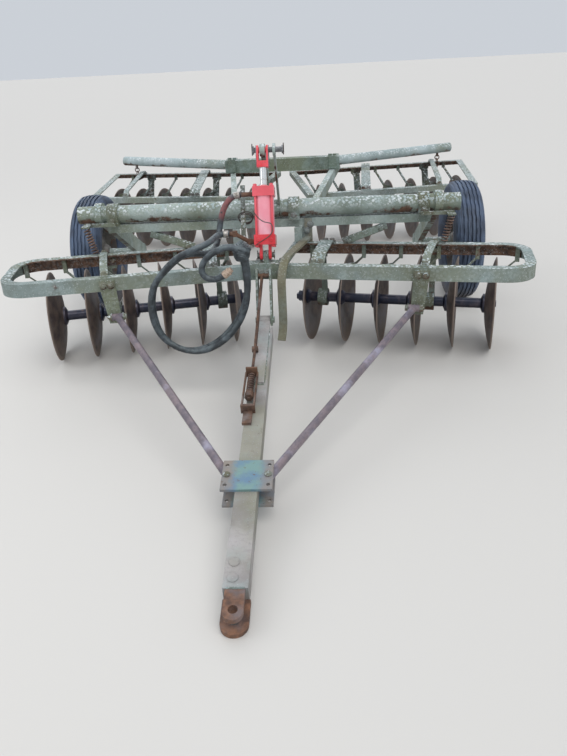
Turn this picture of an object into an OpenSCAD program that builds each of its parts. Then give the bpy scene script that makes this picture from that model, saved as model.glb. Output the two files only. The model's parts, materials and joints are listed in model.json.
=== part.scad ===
// Wheel-type tandem disc harrow, parked on its discs, wheels and hitch.
// X is across the machine, Y runs from the hitch to the rear, Z is up.
// X = 0 and Y = 0 are the middle of its box and Z = 0 is the ground.

/* [Discs and gangs] */
// Diameter of a disc blade, worn
disc_d = 475; // [440:5:480]
// Thickness of a disc blade
disc_t = 5; // [4:0.5:6]
// Radius of the ball that the blade is pressed to
disc_ball_r = 700; // [650:10:800]
// Distance between neighbouring discs on an axle
disc_pitch = 190.5; // [186:0.5:195]
// Thickness of the flat seat in the middle of a blade
disc_seat_t = 8; // [8:1:10]
// Discs on each front gang
front_discs = 6; // [6:1:6]
// Discs on each rear gang
rear_discs = 7; // [7:1:7]
// Angle of the front gangs' axles, outer ends forward
gang_angle = 12.5; // [11.5:0.5:13]
// Angle of the front gangs' frames, outer ends forward
front_angle = 9.5; // [8.5:0.5:10.5]
// Angle of the rear gangs, outer ends rearward
rear_angle = 9; // [8:0.5:10]
// Distance of the innermost front disc from the middle, along its axle
front_first = 189; // [185:1:195]
// Distance of the innermost rear disc from the middle, along its axle
rear_first = 320; // [312:1:328]
// Y of the front gang axles' meeting point
front_axle_y = 130; // [122:1:138]
// Y of the line that the front frames are measured from
front_frame_y = 23; // [15:1:30]
// Y of the rear gang axles' meeting point
rear_axle_y = 2070; // [2060:1:2080]
// Side of the square gang axle
axle_side = 28; // [26:1:29]
// Outside diameter of a spool's barrel
spool_d = 52; // [50:1:54]
// Diameter of a spool's flange
spool_flange_d = 98; // [90:1:104]

/* [Gang frames] */
// Height of the front gang frames' top
front_frame_z = 560; // [556:1:575]
// Height of the rear gang frames' top
rear_frame_z = 583; // [576:1:596]
// Height of the front angle iron's upright leg
angle_h = 64; // [60:1:64]
// Height of the rear angle iron's upright leg
rear_angle_h = 36; // [33:1:40]
// Width of the angle iron's top leg
angle_w = 46; // [40:1:50]
// Thickness of the angle iron
angle_t = 7; // [6:0.5:8]
// Front frame's front face ahead of its line
front_frame_fore = 407; // [395:1:420]
// Front frame's back face behind its line
front_frame_aft = 42; // [38:1:48]
// Front frame's outer end, along its line
front_frame_end = 1310; // [1300:1:1330]
// Radius of the front frame's outer corners
front_corner_r = 130; // [120:2:140]
// Front frame's inner end, along its line
front_frame_in = 128; // [122:1:134]
// Inner end of the front bar, where the two sides meet
front_bar_in = 75; // [74:1:80]
// Rear frame's front face ahead of the axle
rear_frame_fore = 926; // [916:1:936]
// Rear frame's back face behind the axle
rear_frame_aft = 104; // [98:1:110]
// Rear frame's outer corner at the front bar, along the axle
rear_frame_end = 1232; // [1220:1:1245]
// How much further out the rear corner lies
rear_frame_flare = 250; // [230:1:270]
// Rear frame's inner end, along the axle
rear_frame_in = 51; // [46:1:56]
// Width of the inner cross ties
tie_w = 64; // [56:1:70]
// Width of the outer cross ties
outer_tie_w = 36; // [30:1:42]
// Thickness of the cross ties
tie_t = 9; // [8:1:12]

/* [Main frame] */
// Distance of a side rail from the middle at the rockshaft
rail_x = 165; // [160:1:168]
// Angle by which a side rail runs outward to the rear
rail_splay = 6.7; // [6:0.1:7]
// Width of a side rail
rail_w = 38; // [34:1:42]
// Front end of the side rails
rail_front_y = -62; // [-66:1:-58]
// Rear end of the side rails
rail_rear_y = 2250; // [2235:1:2260]
// Height of a side rail
rail_h = 69; // [66:1:72]
// Depth of the cross bar under the rockshaft
cross_bar_w = 44; // [40:1:48]
// Height of the cross bar
cross_bar_h = 43; // [40:1:43]
// Half length of the cross bar
cross_bar_half = 832; // [828:1:840]
// Y of the rear beam's middle
beam_y = 1785; // [1770:1:1800]
// Side of the rear beam
beam_side = 90; // [84:1:96]
// Half length of the rear beam
beam_half = 425; // [415:1:435]
// Outside diameter of the rear arms
arm_d = 70; // [64:1:76]

/* [Rockshaft and wheels] */
// Height of the rockshaft's axis
rock_z = 745; // [744:1:750]
// Outside diameter of the rockshaft
rock_d = 89; // [86:1:90]
// Half length of the rockshaft
rock_half = 978; // [970:1:980]
// Distance of the end bearings from the middle
bearing_x = 795; // [790:1:800]
// Width of a rockshaft bearing band
bearing_w = 56; // [50:1:58]
// Y of the wheels' axis
wheel_y = 721; // [710:1:730]
// Distance of a tyre's middle from the machine's middle
wheel_x = 1137; // [1130:1:1145]
// Outside diameter of a tyre
tyre_d = 714; // [700:1:720]
// Width of a tyre
tyre_w = 176; // [168:1:180]
// Diameter of the rim's bead seat
rim_d = 381; // [375:1:385]

/* [Lift cylinder] */
// Y of the cylinder's base pin
base_pin_y = -366; // [-368:1:-362]
// Height of the cylinder's base pin
base_pin_z = 604; // [603:1:606]
// Y of the cylinder's rod pin as it stands
rod_pin_y = -225; // [-228:1:-220]
// Height of the cylinder's rod pin as it stands
rod_pin_z = 1062; // [1058:1:1066]
// X of the cylinder's axis
cylinder_x = 12; // [10:1:14]
// Outside diameter of the cylinder's barrel
barrel_d = 92; // [88:1:93]
// Bore of the barrel
barrel_bore = 78; // [76:1:80]
// Side of the square end caps
cap_side = 100; // [99:1:104]
// Stroke of the cylinder
stroke = 152; // [150:1:154]
// How far the rod is out as it stands
stroke_out = 54; // [50:1:58]
// Diameter of the rod
rod_d = 31.75; // [30:0.25:32]
// Diameter of the cylinder's pins
cyl_pin_d = 25; // [24:1:26]

/* [Tongue] */
// Y of the pin that the tongue turns on
pivot_y = -496.5; // [-500:0.5:-493]
// Slope of the tongue in degrees
tongue_tilt = 8.7; // [8.5:0.1:9]
// Width of the tongue
tongue_w = 76; // [74:1:78]
// Height of the tongue
tongue_h = 64; // [62:1:66]
// Distance of the tongue's front end from the hitch pin
tongue_start = 73; // [70:1:78]
// Length of the tongue
tongue_len = 1490; // [1480:1:1500]
// Diameter of the hitch pin hole
hitch_hole_d = 29; // [26:1:32]
// Width of the hitch's lower ear
lower_ear_w = 84; // [80:1:90]
// Width of the hitch's upper ear
upper_ear_w = 60; // [56:1:66]
// Thickness of a hitch ear
ear_t = 16; // [14:1:16]
// Gap between the hitch ears
ear_gap = 38; // [36:1:40]
// Distance of the clamp's middle from the hitch pin
clamp_at = 545; // [535:1:555]
// Width of the clamp plates
clamp_w = 178; // [172:1:184]
// Length of the clamp plates
clamp_len = 148; // [142:1:152]
// Thickness of the clamp plates
clamp_t = 10; // [9:1:12]
// Diameter of the bolt holes in the clamp plates
clamp_hole_d = 14; // [12:1:15]
// Diameter of the braces
brace_d = 32; // [30:1:34]

/* [Hoses] */
// Outside diameter of a hose
hose_d = 28; // [26:1:28]

/* [Hidden] */
$fn = 48;

frame_green = [0.36, 0.42, 0.34];
dark_green = [0.25, 0.33, 0.28];
rust = [0.42, 0.26, 0.17];
disc_brown = [0.30, 0.24, 0.21];
steel_blue = [0.13, 0.15, 0.24];
lift_red = [0.75, 0.10, 0.10];
chrome = [0.78, 0.79, 0.80];
tyre_black = [0.11, 0.13, 0.16];
rim_grey = [0.38, 0.38, 0.36];
plate_blue = [0.25, 0.43, 0.45];
hose_black = [0.14, 0.16, 0.15];

disc_r = disc_d / 2;
axle_z = disc_r;
running_gap = 1;
small_gap = 0.3;
dish_depth = disc_ball_r - sqrt(disc_ball_r * disc_ball_r - disc_r * disc_r);
wheel_arm_x = cross_bar_half + 36;

// Places and turns

ear_front = 47;
strap_t = 12;
pivot_at = tongue_start + tongue_len + 65;
pivot_up = tongue_h / 2 + strap_t / 2;
hitch_y = pivot_y - pivot_at * cos(tongue_tilt) + pivot_up * sin(tongue_tilt);
rear_corner_y = rear_axle_y + (rear_frame_end + rear_frame_flare) * sin(rear_angle)
    + rear_frame_aft * cos(rear_angle);
last_rear_rim = rear_first + (rear_discs - 1) * disc_pitch - dish_depth;
rear_disc_y = rear_axle_y + last_rear_rim * sin(rear_angle) + disc_r * cos(rear_angle);
hitch_front_y = hitch_y - ear_front * cos(tongue_tilt) + ear_gap / 2 * sin(tongue_tilt);
middle_y = (max(rear_corner_y, rear_disc_y) + hitch_front_y) / 2;

// Every piece is drawn with Y = 0 under the rockshaft and then moved to the middle
module set_down() {
    translate([0, -middle_y, 0]) children();
}

module both_sides() {
    children();
    mirror([1, 0, 0]) children();
}

// Local X runs out along the right axle or frame line from the middle, local Z is height
module front_axle_place() {
    translate([0, front_axle_y, 0]) rotate([0, 0, -gang_angle]) children();
}

module front_frame_place() {
    translate([0, front_frame_y, 0]) rotate([0, 0, -front_angle]) children();
}

module rear_gang_place() {
    translate([0, rear_axle_y, 0]) rotate([0, 0, rear_angle]) children();
}

// Local Z runs from one point towards another, and local Y stays level
module aim(from, to) {
    way = to - from;
    translate(from) rotate([0, acos(way[2] / norm(way)), atan2(way[1], way[0])]) children();
}

module rod(from, to, d) {
    aim(from, to) cylinder(d = d, h = norm(to - from));
}

// A flat bar between two points: w is its level width, t its thickness
module flat(from, to, w, t) {
    aim(from, to) translate([-t / 2, -w / 2, 0]) cube([t, w, norm(to - from)]);
}

module across(x, y, z, len, d) {
    translate([x - len / 2, y, z]) rotate([0, 90, 0]) cylinder(d = d, h = len);
}

module hex_x(x, y, z, len, flats) {
    translate([x, y, z]) rotate([0, 90, 0]) cylinder(d = flats / cos(30), h = len, $fn = 6);
}

// Gangs

axle_bore_d = axle_side * sqrt(2) + 1.4;

// A blade whose hollow side faces local +Z, with its flat seat from 0 to disc_seat_t
module disc_blade() {
    difference() {
        union() {
            intersection() {
                translate([0, 0, disc_ball_r]) difference() {
                    sphere(r = disc_ball_r, $fn = 128);
                    sphere(r = disc_ball_r - disc_t, $fn = 128);
                }
                cylinder(r = disc_r, h = dish_depth + disc_t + 1, $fn = 96);
            }
            cylinder(d = spool_flange_d + 4, h = disc_seat_t);
        }
        translate([0, 0, -1]) cylinder(d = axle_bore_d, h = disc_seat_t + 2);
    }
}

module gang_discs(first, count, hollow_out) {
    for (i = [0:count - 1])
        translate([first + i * disc_pitch, 0, axle_z])
            rotate([0, hollow_out ? 90 : -90, 0]) disc_blade();
}

// One spool: bell end against a blade's hollow side, plate end against the next blade's back
function spool_profile(len) = let (r = spool_d / 2, f = spool_flange_d / 2)
    [[0, 0], [f - 8, 0], [f - 8, 7], [r, 24], [r, len - 20], [f, len - 9], [f, len], [0, len]];

module spool(from, hollow_out) {
    len = disc_pitch - disc_seat_t;
    translate([hollow_out ? from : from + len, 0, axle_z]) rotate([0, hollow_out ? 90 : -90, 0])
        rotate_extrude() polygon(spool_profile(len));
}

// Axle, spools, end washers and nuts
module gang_arbor(first, count, hollow_out) {
    seat = hollow_out ? disc_seat_t : 0;
    back = hollow_out ? 0 : disc_seat_t;
    last = first + (count - 1) * disc_pitch;
    washer_t = 12;
    nut_t = 26;
    for (i = [0:count - 2]) spool(first + i * disc_pitch + seat, hollow_out);
    translate([first - back - washer_t - nut_t - 12, -axle_side / 2, axle_z - axle_side / 2])
        cube([last - first + back + seat + 2 * (washer_t + nut_t + 12), axle_side, axle_side]);
    across(first - back - washer_t / 2, 0, axle_z, washer_t, spool_flange_d);
    across(last + seat + washer_t / 2, 0, axle_z, washer_t, spool_flange_d);
    hex_x(first - back - washer_t - nut_t, 0, axle_z, nut_t, 52);
    hex_x(last + seat + washer_t, 0, axle_z, nut_t, 52);
}

module discs_front_right() {
    color(disc_brown) set_down() front_axle_place() gang_discs(front_first, front_discs, true);
}
module discs_front_left() { mirror([1, 0, 0]) discs_front_right(); }
module arbor_front_right() {
    color(steel_blue) set_down() front_axle_place() gang_arbor(front_first, front_discs, true);
}
module arbor_front_left() { mirror([1, 0, 0]) arbor_front_right(); }
module discs_rear_right() {
    color(disc_brown) set_down() rear_gang_place() gang_discs(rear_first, rear_discs, false);
}
module discs_rear_left() { mirror([1, 0, 0]) discs_rear_right(); }
module arbor_rear_right() {
    color(steel_blue) set_down() rear_gang_place() gang_arbor(rear_first, rear_discs, false);
}
module arbor_rear_left() { mirror([1, 0, 0]) arbor_rear_right(); }

// Gang frames of angle iron, upright leg outside and top leg inside

function corner(x, y, r, from) = [for (i = [0:9]) [x + r * cos(from + i * 10), y + r * sin(from + i * 10)]];

module front_outline(inset) {
    r = front_corner_r - inset;
    x = front_frame_end - front_corner_r;
    polygon(concat([[front_frame_in + inset, inset - front_frame_fore]],
        corner(x, front_corner_r - front_frame_fore, r, -90),
        corner(x, front_frame_aft - front_corner_r, r, 0),
        [[front_frame_in + inset, front_frame_aft - inset]]));
}

// Outer end leans out by the flare between the front and the rear bar
module rear_outline(inset) {
    lean = rear_frame_flare / (rear_frame_fore + rear_frame_aft);
    side = inset * sqrt(1 + lean * lean);
    front = -rear_frame_fore + inset;
    back = rear_frame_aft - inset;
    polygon([[rear_frame_in + inset, front],
        [rear_frame_end + lean * inset - side, front],
        [rear_frame_end + rear_frame_flare - lean * inset - side, back],
        [rear_frame_in + inset, back]]);
}

module angle_ring(top_z, leg, front) {
    translate([0, 0, top_z - leg]) difference() {
        linear_extrude(leg) outline(front, 0);
        translate([0, 0, -1]) linear_extrude(leg - angle_t + 1) outline(front, angle_t);
        linear_extrude(leg + 1) outline(front, angle_w);
    }
}

// The front bar runs on past the frame's inner end to the machine's middle
module front_bar_stub() {
    len = front_frame_in - front_bar_in + 1;
    translate([front_bar_in, -front_frame_fore, front_frame_z - angle_h]) cube([len, angle_t, angle_h]);
    translate([front_bar_in, -front_frame_fore, front_frame_z - angle_t]) cube([len, angle_w, angle_t]);
}

module outline(front, inset) {
    if (front) front_outline(inset);
    else rear_outline(inset);
}

tie_rise = 26;

// An arched flat tie with its feet on the two bars' top legs, turned about its back end
module cross_tie(at, turn, w, fore, aft, top_z) {
    rise = tie_rise;
    foot = 52;
    ramp = 50;
    len = (fore + aft) / cos(turn);
    points = [[-len, 0], [foot - len, 0], [foot + ramp - len, rise], [-foot - ramp, rise],
        [-foot, 0], [0, 0], [0, tie_t], [2 - foot, tie_t],
        [2 - foot - ramp, rise + tie_t], [foot + ramp - 2 - len, rise + tie_t],
        [foot - 2 - len, tie_t], [-len, tie_t]];
    translate([at, aft, top_z]) rotate([0, 0, turn]) translate([-w / 2, 0, 0])
        rotate([90, 0, 90]) linear_extrude(w) polygon(points);
}

front_ties = [[318, 0, tie_w], [860, -6, outer_tie_w]];
rear_ties = [[675, -12.5, tie_w], [1217, -14, outer_tie_w]];

module front_frame_right() {
    color(frame_green) set_down() front_frame_place() {
        angle_ring(front_frame_z, angle_h, true);
        front_bar_stub();
        for (tie = front_ties)
            cross_tie(tie[0], tie[1], tie[2], front_frame_fore - 6, front_frame_aft - 6, front_frame_z);
    }
}
module front_frame_left() { mirror([1, 0, 0]) front_frame_right(); }

module rear_frame_right() {
    color(frame_green) set_down() rear_gang_place() {
        angle_ring(rear_frame_z, rear_angle_h, false);
        for (tie = rear_ties)
            cross_tie(tie[0], tie[1], tie[2], rear_frame_fore - 6, rear_frame_aft - 6, rear_frame_z);
    }
}
module rear_frame_left() { mirror([1, 0, 0]) rear_frame_right(); }

// Points of the right gangs and frames: along the line, behind it, and up

function front_axle_point(along, behind, up) = [
    along * cos(gang_angle) + behind * sin(gang_angle),
    front_axle_y - along * sin(gang_angle) + behind * cos(gang_angle), up];
function front_frame_point(along, behind, up) = [
    along * cos(front_angle) + behind * sin(front_angle),
    front_frame_y - along * sin(front_angle) + behind * cos(front_angle), up];
function front_frame_along(p) = p[0] * cos(front_angle) - (p[1] - front_frame_y) * sin(front_angle);
function rear_gang_point(along, behind, up) = [
    along * cos(rear_angle) - behind * sin(rear_angle),
    rear_axle_y + along * sin(rear_angle) + behind * cos(rear_angle), up];

// Hangers carry the gang bearings: a plate behind the back bar, an arm and the housing

front_bearings = [front_first + 0.5 * disc_pitch + disc_seat_t / 2,
    front_first + 3.5 * disc_pitch + disc_seat_t / 2];
rear_bearings = [rear_first + 1.5 * disc_pitch - disc_seat_t / 2,
    rear_first + 4.5 * disc_pitch - disc_seat_t / 2];
hanger_t = 14;
hanger_offset = 10;
housing_len = 50;
housing_d = 94;

module hanger_plate(along, aft, top_z, leg) {
    translate([along - 32, aft + small_gap, top_z - leg - 18]) cube([64, hanger_t, leg + 10]);
}

module front_hangers() {
    aft = front_frame_aft;
    color(dark_green) set_down() both_sides() for (at = front_bearings) {
        along = front_frame_along(front_axle_point(at, 0, axle_z));
        difference() {
            union() {
                front_frame_place() hanger_plate(along, aft, front_frame_z, angle_h);
                flat(front_frame_point(along + hanger_offset, aft + small_gap + hanger_t / 2,
                    front_frame_z - angle_h - 10), front_axle_point(at + hanger_offset, 0, axle_z), 30,
                    hanger_t - 2);
                front_axle_place() across(at, 0, axle_z, housing_len, housing_d);
            }
            front_axle_place() across(at, 0, axle_z, housing_len + 2, spool_d + 2 * running_gap);
        }
    }
}

module rear_hangers() {
    aft = rear_frame_aft;
    color(dark_green) set_down() both_sides() for (at = rear_bearings) difference() {
        union() {
            rear_gang_place() hanger_plate(at, aft, rear_frame_z, rear_angle_h);
            flat(rear_gang_point(at, aft + small_gap + hanger_t / 2, rear_frame_z - rear_angle_h - 10),
                rear_gang_point(at, 0, axle_z), 50, hanger_t - 2);
            rear_gang_place() across(at, 0, axle_z, housing_len, housing_d);
        }
        rear_gang_place() across(at, 0, axle_z, housing_len + 2, spool_d + 2 * running_gap);
    }
}

// Scrapers: a blade inside each disc's hollow side, hung from the frame's back bar

scraper_gap = 8;
function hollow_at(radius) = disc_t + disc_ball_r - disc_t
    - sqrt(pow(disc_ball_r - disc_t, 2) - radius * radius);

module scraper_blade() {
    inner = 120;
    outer = 200;
    back = 92;
    rotate([90, 0, 0]) translate([0, 0, -2.5]) linear_extrude(5)
        polygon([[hollow_at(inner) + scraper_gap, inner], [hollow_at(outer) + scraper_gap, outer],
            [back, outer + 12], [back, inner + 8]]);
}

scraper_reach = 196;
scraper_lean = -8;
scraper_from = 84;
scraper_step = 54;

// A block inside the back bar that an arm hangs from
module scraper_block(along, behind, top_z, leg) {
    translate([along - 10, behind - 10, top_z - leg - 16]) cube([20, 20, leg + 16 - angle_t - small_gap]);
}

module front_scrapers() {
    up = axle_z + scraper_reach * cos(scraper_lean);
    color(dark_green) set_down() both_sides() for (i = [0:front_discs - 1]) {
        at = front_first + i * disc_pitch;
        low = front_axle_point(at + scraper_from, scraper_reach * sin(scraper_lean), up);
        outermost = i == front_discs - 1;
        along = outermost ? front_frame_end - 54
            : front_frame_along(low) + (i == 0 ? -scraper_step / 2 : scraper_step);
        behind = front_frame_aft - (outermost ? 54 : angle_t + 10 + small_gap);
        front_axle_place() translate([at, 0, axle_z]) rotate([-scraper_lean, 0, 0]) scraper_blade();
        flat(low, front_frame_point(along, behind, front_frame_z - angle_h - 6), 16, 8);
        front_frame_place() scraper_block(along, behind, front_frame_z, angle_h);
    }
}

module rear_scrapers() {
    up = axle_z + scraper_reach * cos(scraper_lean);
    behind = rear_frame_aft - angle_t - 10 - small_gap;
    color(dark_green) set_down() both_sides() for (i = [0:rear_discs - 1]) {
        at = rear_first + i * disc_pitch;
        along = at - scraper_from - scraper_step;
        rear_gang_place() translate([at, 0, axle_z]) rotate([-scraper_lean, 0, 0])
            mirror([1, 0, 0]) scraper_blade();
        flat(rear_gang_point(at - scraper_from, scraper_reach * sin(scraper_lean), up),
            rear_gang_point(along, behind, rear_frame_z - rear_angle_h - 6), 16, 8);
        rear_gang_place() scraper_block(along, behind, rear_frame_z, rear_angle_h);
    }
}

// Main frame

rail_top = rear_frame_z + rail_h;
cross_bar_z = rail_top;
rail_at_beam = rail_x + beam_y * tan(rail_splay);

module main_frame() {
    color(frame_green) set_down() {
        both_sides() translate([rail_x, 0, 0]) rotate([0, 0, -rail_splay]) translate([-rail_w / 2, 0, 0]) {
            translate([0, rail_front_y, rear_frame_z]) cube([rail_w, rail_rear_y - rail_front_y, rail_h]);
            translate([0, -14, front_frame_z]) cube([rail_w, 46, rear_frame_z + 1 - front_frame_z]);
        }
        translate([-cross_bar_half, -cross_bar_w / 2, cross_bar_z])
            cube([2 * cross_bar_half, cross_bar_w, cross_bar_h]);
    }
}

module rear_beam() {
    color(frame_green) set_down() {
        translate([-beam_half, beam_y - beam_side / 2, rail_top]) cube([2 * beam_half, beam_side, beam_side]);
        both_sides() {
            translate([rail_at_beam - 28, beam_y - beam_side / 2 - 10, rail_top + 8]) cube([56, 11, beam_side]);
            for (x = [rail_at_beam - 18, rail_at_beam + 18])
                translate([x, beam_y, rail_top + beam_side - 1]) cylinder(d = 26, h = 17, $fn = 6);
            difference() {
                translate([beam_half - 76, beam_y + beam_side / 2 - 1, rail_top]) cube([75, 77, beam_side - 1]);
                rod(arm_in, arm_out, arm_d);
            }
        }
    }
}

arm_in = [beam_half - 52, beam_y + beam_side / 2 + arm_d / 2, rail_top + 42];
arm_out = [1322, 2295, rail_top + 48];

module rear_arms() {
    color(frame_green) set_down() both_sides() rod(arm_in, arm_out, arm_d);
}

chain_wire = 8;
link_d = 42;
link_pitch = link_d - 2 * chain_wire + small_gap;
lug_t = 10;
lug_hole_d = 13;
chain_links = 3;
chain_on_arm = arm_out - 110 * unit(arm_out - arm_in);
chain_along = chain_on_arm[0] * cos(rear_angle) + (chain_on_arm[1] - rear_axle_y) * sin(rear_angle);
chain_behind = (chain_on_arm[1] - rear_axle_y) * cos(rear_angle) - chain_on_arm[0] * sin(rear_angle);
chain_top = chain_on_arm[2] - arm_d / 2 - 33;
ring_seat = link_d / 2 - chain_wire / 2;
chain_low = chain_top - (chain_links - 1) * link_pitch;

module chain_link(turn) {
    rotate([90, 0, turn]) rotate_extrude($fn = 32)
        translate([(link_d - chain_wire) / 2, 0]) circle(d = chain_wire, $fn = 12);
}

// An eye plate drawn in local Y and Z round its hole
module eye_plate(points) {
    translate([-lug_t / 2, 0, 0]) rotate([90, 0, 90]) linear_extrude(lug_t) difference() {
        polygon(points);
        circle(d = lug_hole_d, $fn = 24);
    }
}

// Ring links between an eye under the arm and an eye on the frame's back bar
module rear_chains() {
    reach = rear_frame_aft - angle_t - chain_behind - small_gap;
    top = rear_frame_z - angle_t - chain_low + ring_seat - small_gap;
    color(rust) set_down() both_sides() difference() {
        rear_gang_place() translate([chain_along, chain_behind, 0]) {
            for (i = [0:chain_links - 1])
                translate([0, 0, chain_top - i * link_pitch]) chain_link(i * 90);
            translate([0, 0, chain_top + ring_seat])
                eye_plate([[-16, 22], [-14, -6], [-8, -11], [8, -11], [14, -6], [16, 22]]);
            translate([0, 0, chain_low - ring_seat])
                eye_plate([[-14, 4], [-8, 11], [14, 11], [24, top], [reach, top], [reach, -14], [-8, -14]]);
        }
        rod(arm_in, arm_out, arm_d + 2 * small_gap);
    }
}

// Rockshaft, its bearings and the wheels

bearing_seat = cross_bar_z + cross_bar_h + small_gap;

module shaft_bearings() {
    outer = rock_d + 20;
    color(dark_green) set_down() difference() {
        union() {
            for (x = [-bearing_x, 140, bearing_x]) {
                across(x, 0, rock_z, bearing_w, outer);
                translate([x - bearing_w / 2 - 1, -62, bearing_seat - 2]) cube([bearing_w + 2, 124, 15]);
                translate([x - bearing_w / 2, 3 - outer / 2, bearing_seat - 4])
                    cube([bearing_w, outer - 6, rock_z - bearing_seat]);
            }
            both_sides() {
                translate([bearing_x - 20, -77, bearing_seat + 2])
                    cube([gang_spring_top[0] - bearing_x + 38, 16, 17]);
                translate([gang_spring_top[0] - 20, gang_spring_top[1] - 20, bearing_seat + 6])
                    cube([40, -74 - gang_spring_top[1] + 20, 9]);
            }
        }
        across(0, 0, rock_z, 2 * rock_half, rock_d + 2 * running_gap);
        translate([-rock_half, -90, bearing_seat - 60]) cube([2 * rock_half, 180, 60]);
    }
}

lever_t = 24;
lever_eye_d = 56;
eye_clearance = 6;
side_lever_x = cylinder_x + 54;
side_lever_t = 12;

// A gooseneck lever between the yoke's ears and a side lever at the pin's end.
// Both eyes are wide, because the linkage is opened at this pin.
module rockshaft() {
    knee = [cylinder_x, rod_pin_y + 96, rod_pin_z - 30];
    eye = [cylinder_x, rod_pin_y, rod_pin_z];
    hub = [cylinder_x, 0, rock_z];
    side_eye = [side_lever_x, rod_pin_y, rod_pin_z];
    color(frame_green) set_down() difference() {
        union() {
            across(0, 0, rock_z, 2 * rock_half, rock_d);
            flat(eye, knee, lever_t - 2, lever_eye_d - 4);
            across(knee[0], knee[1], knee[2], lever_t, 72);
            flat(knee, hub, lever_t - 2, 68);
            across(eye[0], eye[1], eye[2], lever_t, lever_eye_d);
            flat(side_eye, [side_lever_x, 0, rock_z], side_lever_t - 2, 38);
            across(side_lever_x, rod_pin_y, rod_pin_z, side_lever_t, lever_eye_d);
        }
        for (side = [-1, 1]) across(side * rock_half, 0, rock_z, 60, rock_d - 16);
        across(cylinder_x + 30, rod_pin_y, rod_pin_z, 140, cyl_pin_d + 2 * eye_clearance);
    }
}

module wheel_arms() {
    spindle_d = 44;
    color(frame_green) set_down() both_sides() {
        difference() {
            union() {
                across(wheel_arm_x, 0, rock_z, 36, rock_d + 30);
                translate([wheel_arm_x - 16, 0, rock_z])
                    rotate([-atan2(rock_z - tyre_d / 2, wheel_y), 0, 0])
                        translate([0, 0, -42]) cube([32, norm([wheel_y, rock_z - tyre_d / 2]), 84]);
                across(wheel_arm_x, wheel_y, tyre_d / 2, 36, 96);
                translate([wheel_arm_x, wheel_y, tyre_d / 2]) rotate([0, 90, 0])
                    cylinder(d = spindle_d, h = wheel_x + 20 - wheel_arm_x);
            }
            across(wheel_arm_x, 0, rock_z, 60, rock_d);
        }
    }
}

tyre_ribs = 5;
rib_gap = 9;
rib_depth = 9;

function tyre_half() = let (h = tyre_w / 2, ro = tyre_d / 2, ri = rim_d / 2)
    [[h - 34, ri], [h - 26, ri], [h - 12, ri + 16], [h - 2, ri + 48], [h, ri + 84], [h - 6, ro - 44],
        [h - 18, ro - 20], [h - 30, ro - 8]];

module tyre_right() {
    pitch = (tyre_w - 60) / tyre_ribs;
    outer = tyre_half();
    mirrored = [for (i = [len(outer) - 1:-1:0]) [-outer[i][0], outer[i][1]]];
    color(tyre_black) set_down() translate([wheel_x, wheel_y, tyre_d / 2]) rotate([0, 90, 0])
        rotate_extrude($fn = 96) difference() {
            polygon([for (p = concat(outer, [[0, tyre_d / 2]], mirrored)) [p[1], p[0]]]);
            for (i = [1:tyre_ribs - 1])
                translate([tyre_d / 2 - rib_depth, -tyre_w / 2 + 30 + i * pitch - rib_gap / 2])
                    square([rib_depth + 5, rib_gap]);
        }
}
module tyre_left() { mirror([1, 0, 0]) tyre_right(); }

module rim_right() {
    ri = rim_d / 2 - small_gap;
    half = tyre_w / 2 - 34;
    hub_r = 52;
    color(rim_grey) set_down() translate([wheel_x, wheel_y, tyre_d / 2]) rotate([0, 90, 0]) difference() {
        union() {
            rotate_extrude($fn = 96) {
                polygon([[ri - 6, -half], [ri, -half], [ri, half], [ri - 6, half]]);
                polygon([[hub_r - 8, -4], [110, -4], [140, 14], [ri - 3, 14], [ri - 3, 20], [136, 20],
                    [106, 4], [hub_r - 8, 4]]);
                polygon([[23, -60], [hub_r - 14, -60], [hub_r, -40], [hub_r, 28], [hub_r - 10, 44], [23, 44]]);
            }
            for (i = [0:4]) rotate([0, 0, i * 72]) translate([76, 0, 0]) cylinder(d = 24, h = 22, $fn = 6);
        }
        for (i = [0:7]) rotate([0, 0, i * 45 + 22.5]) translate([128, 0, -2]) cylinder(d = 26, h = 40);
    }
}
module rim_left() { mirror([1, 0, 0]) rim_right(); }

// Lift cylinder, drawn along local Z from its base pin

base_pin = [cylinder_x, base_pin_y, base_pin_z];
rod_pin = [cylinder_x, rod_pin_y, rod_pin_z];
pin_span = norm(rod_pin - base_pin);
base_cap_at = 46;
base_cap_len = 46;
gland_at = 268;
gland_len = 44;
tie_rod_at = cap_side / 2 - 12;
base_ear_t = 14;
base_ear_gap = 28;
base_ear_d = 44;
yoke_len = 78;
yoke_half = 30;
yoke_ear_t = 12;
yoke_depth = 44;

module pin_cross(at, len, d) {
    translate([0, -len / 2, at]) rotate([-90, 0, 0]) cylinder(d = d, h = len);
}

module cylinder_place() {
    aim(base_pin, rod_pin) children();
}

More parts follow.
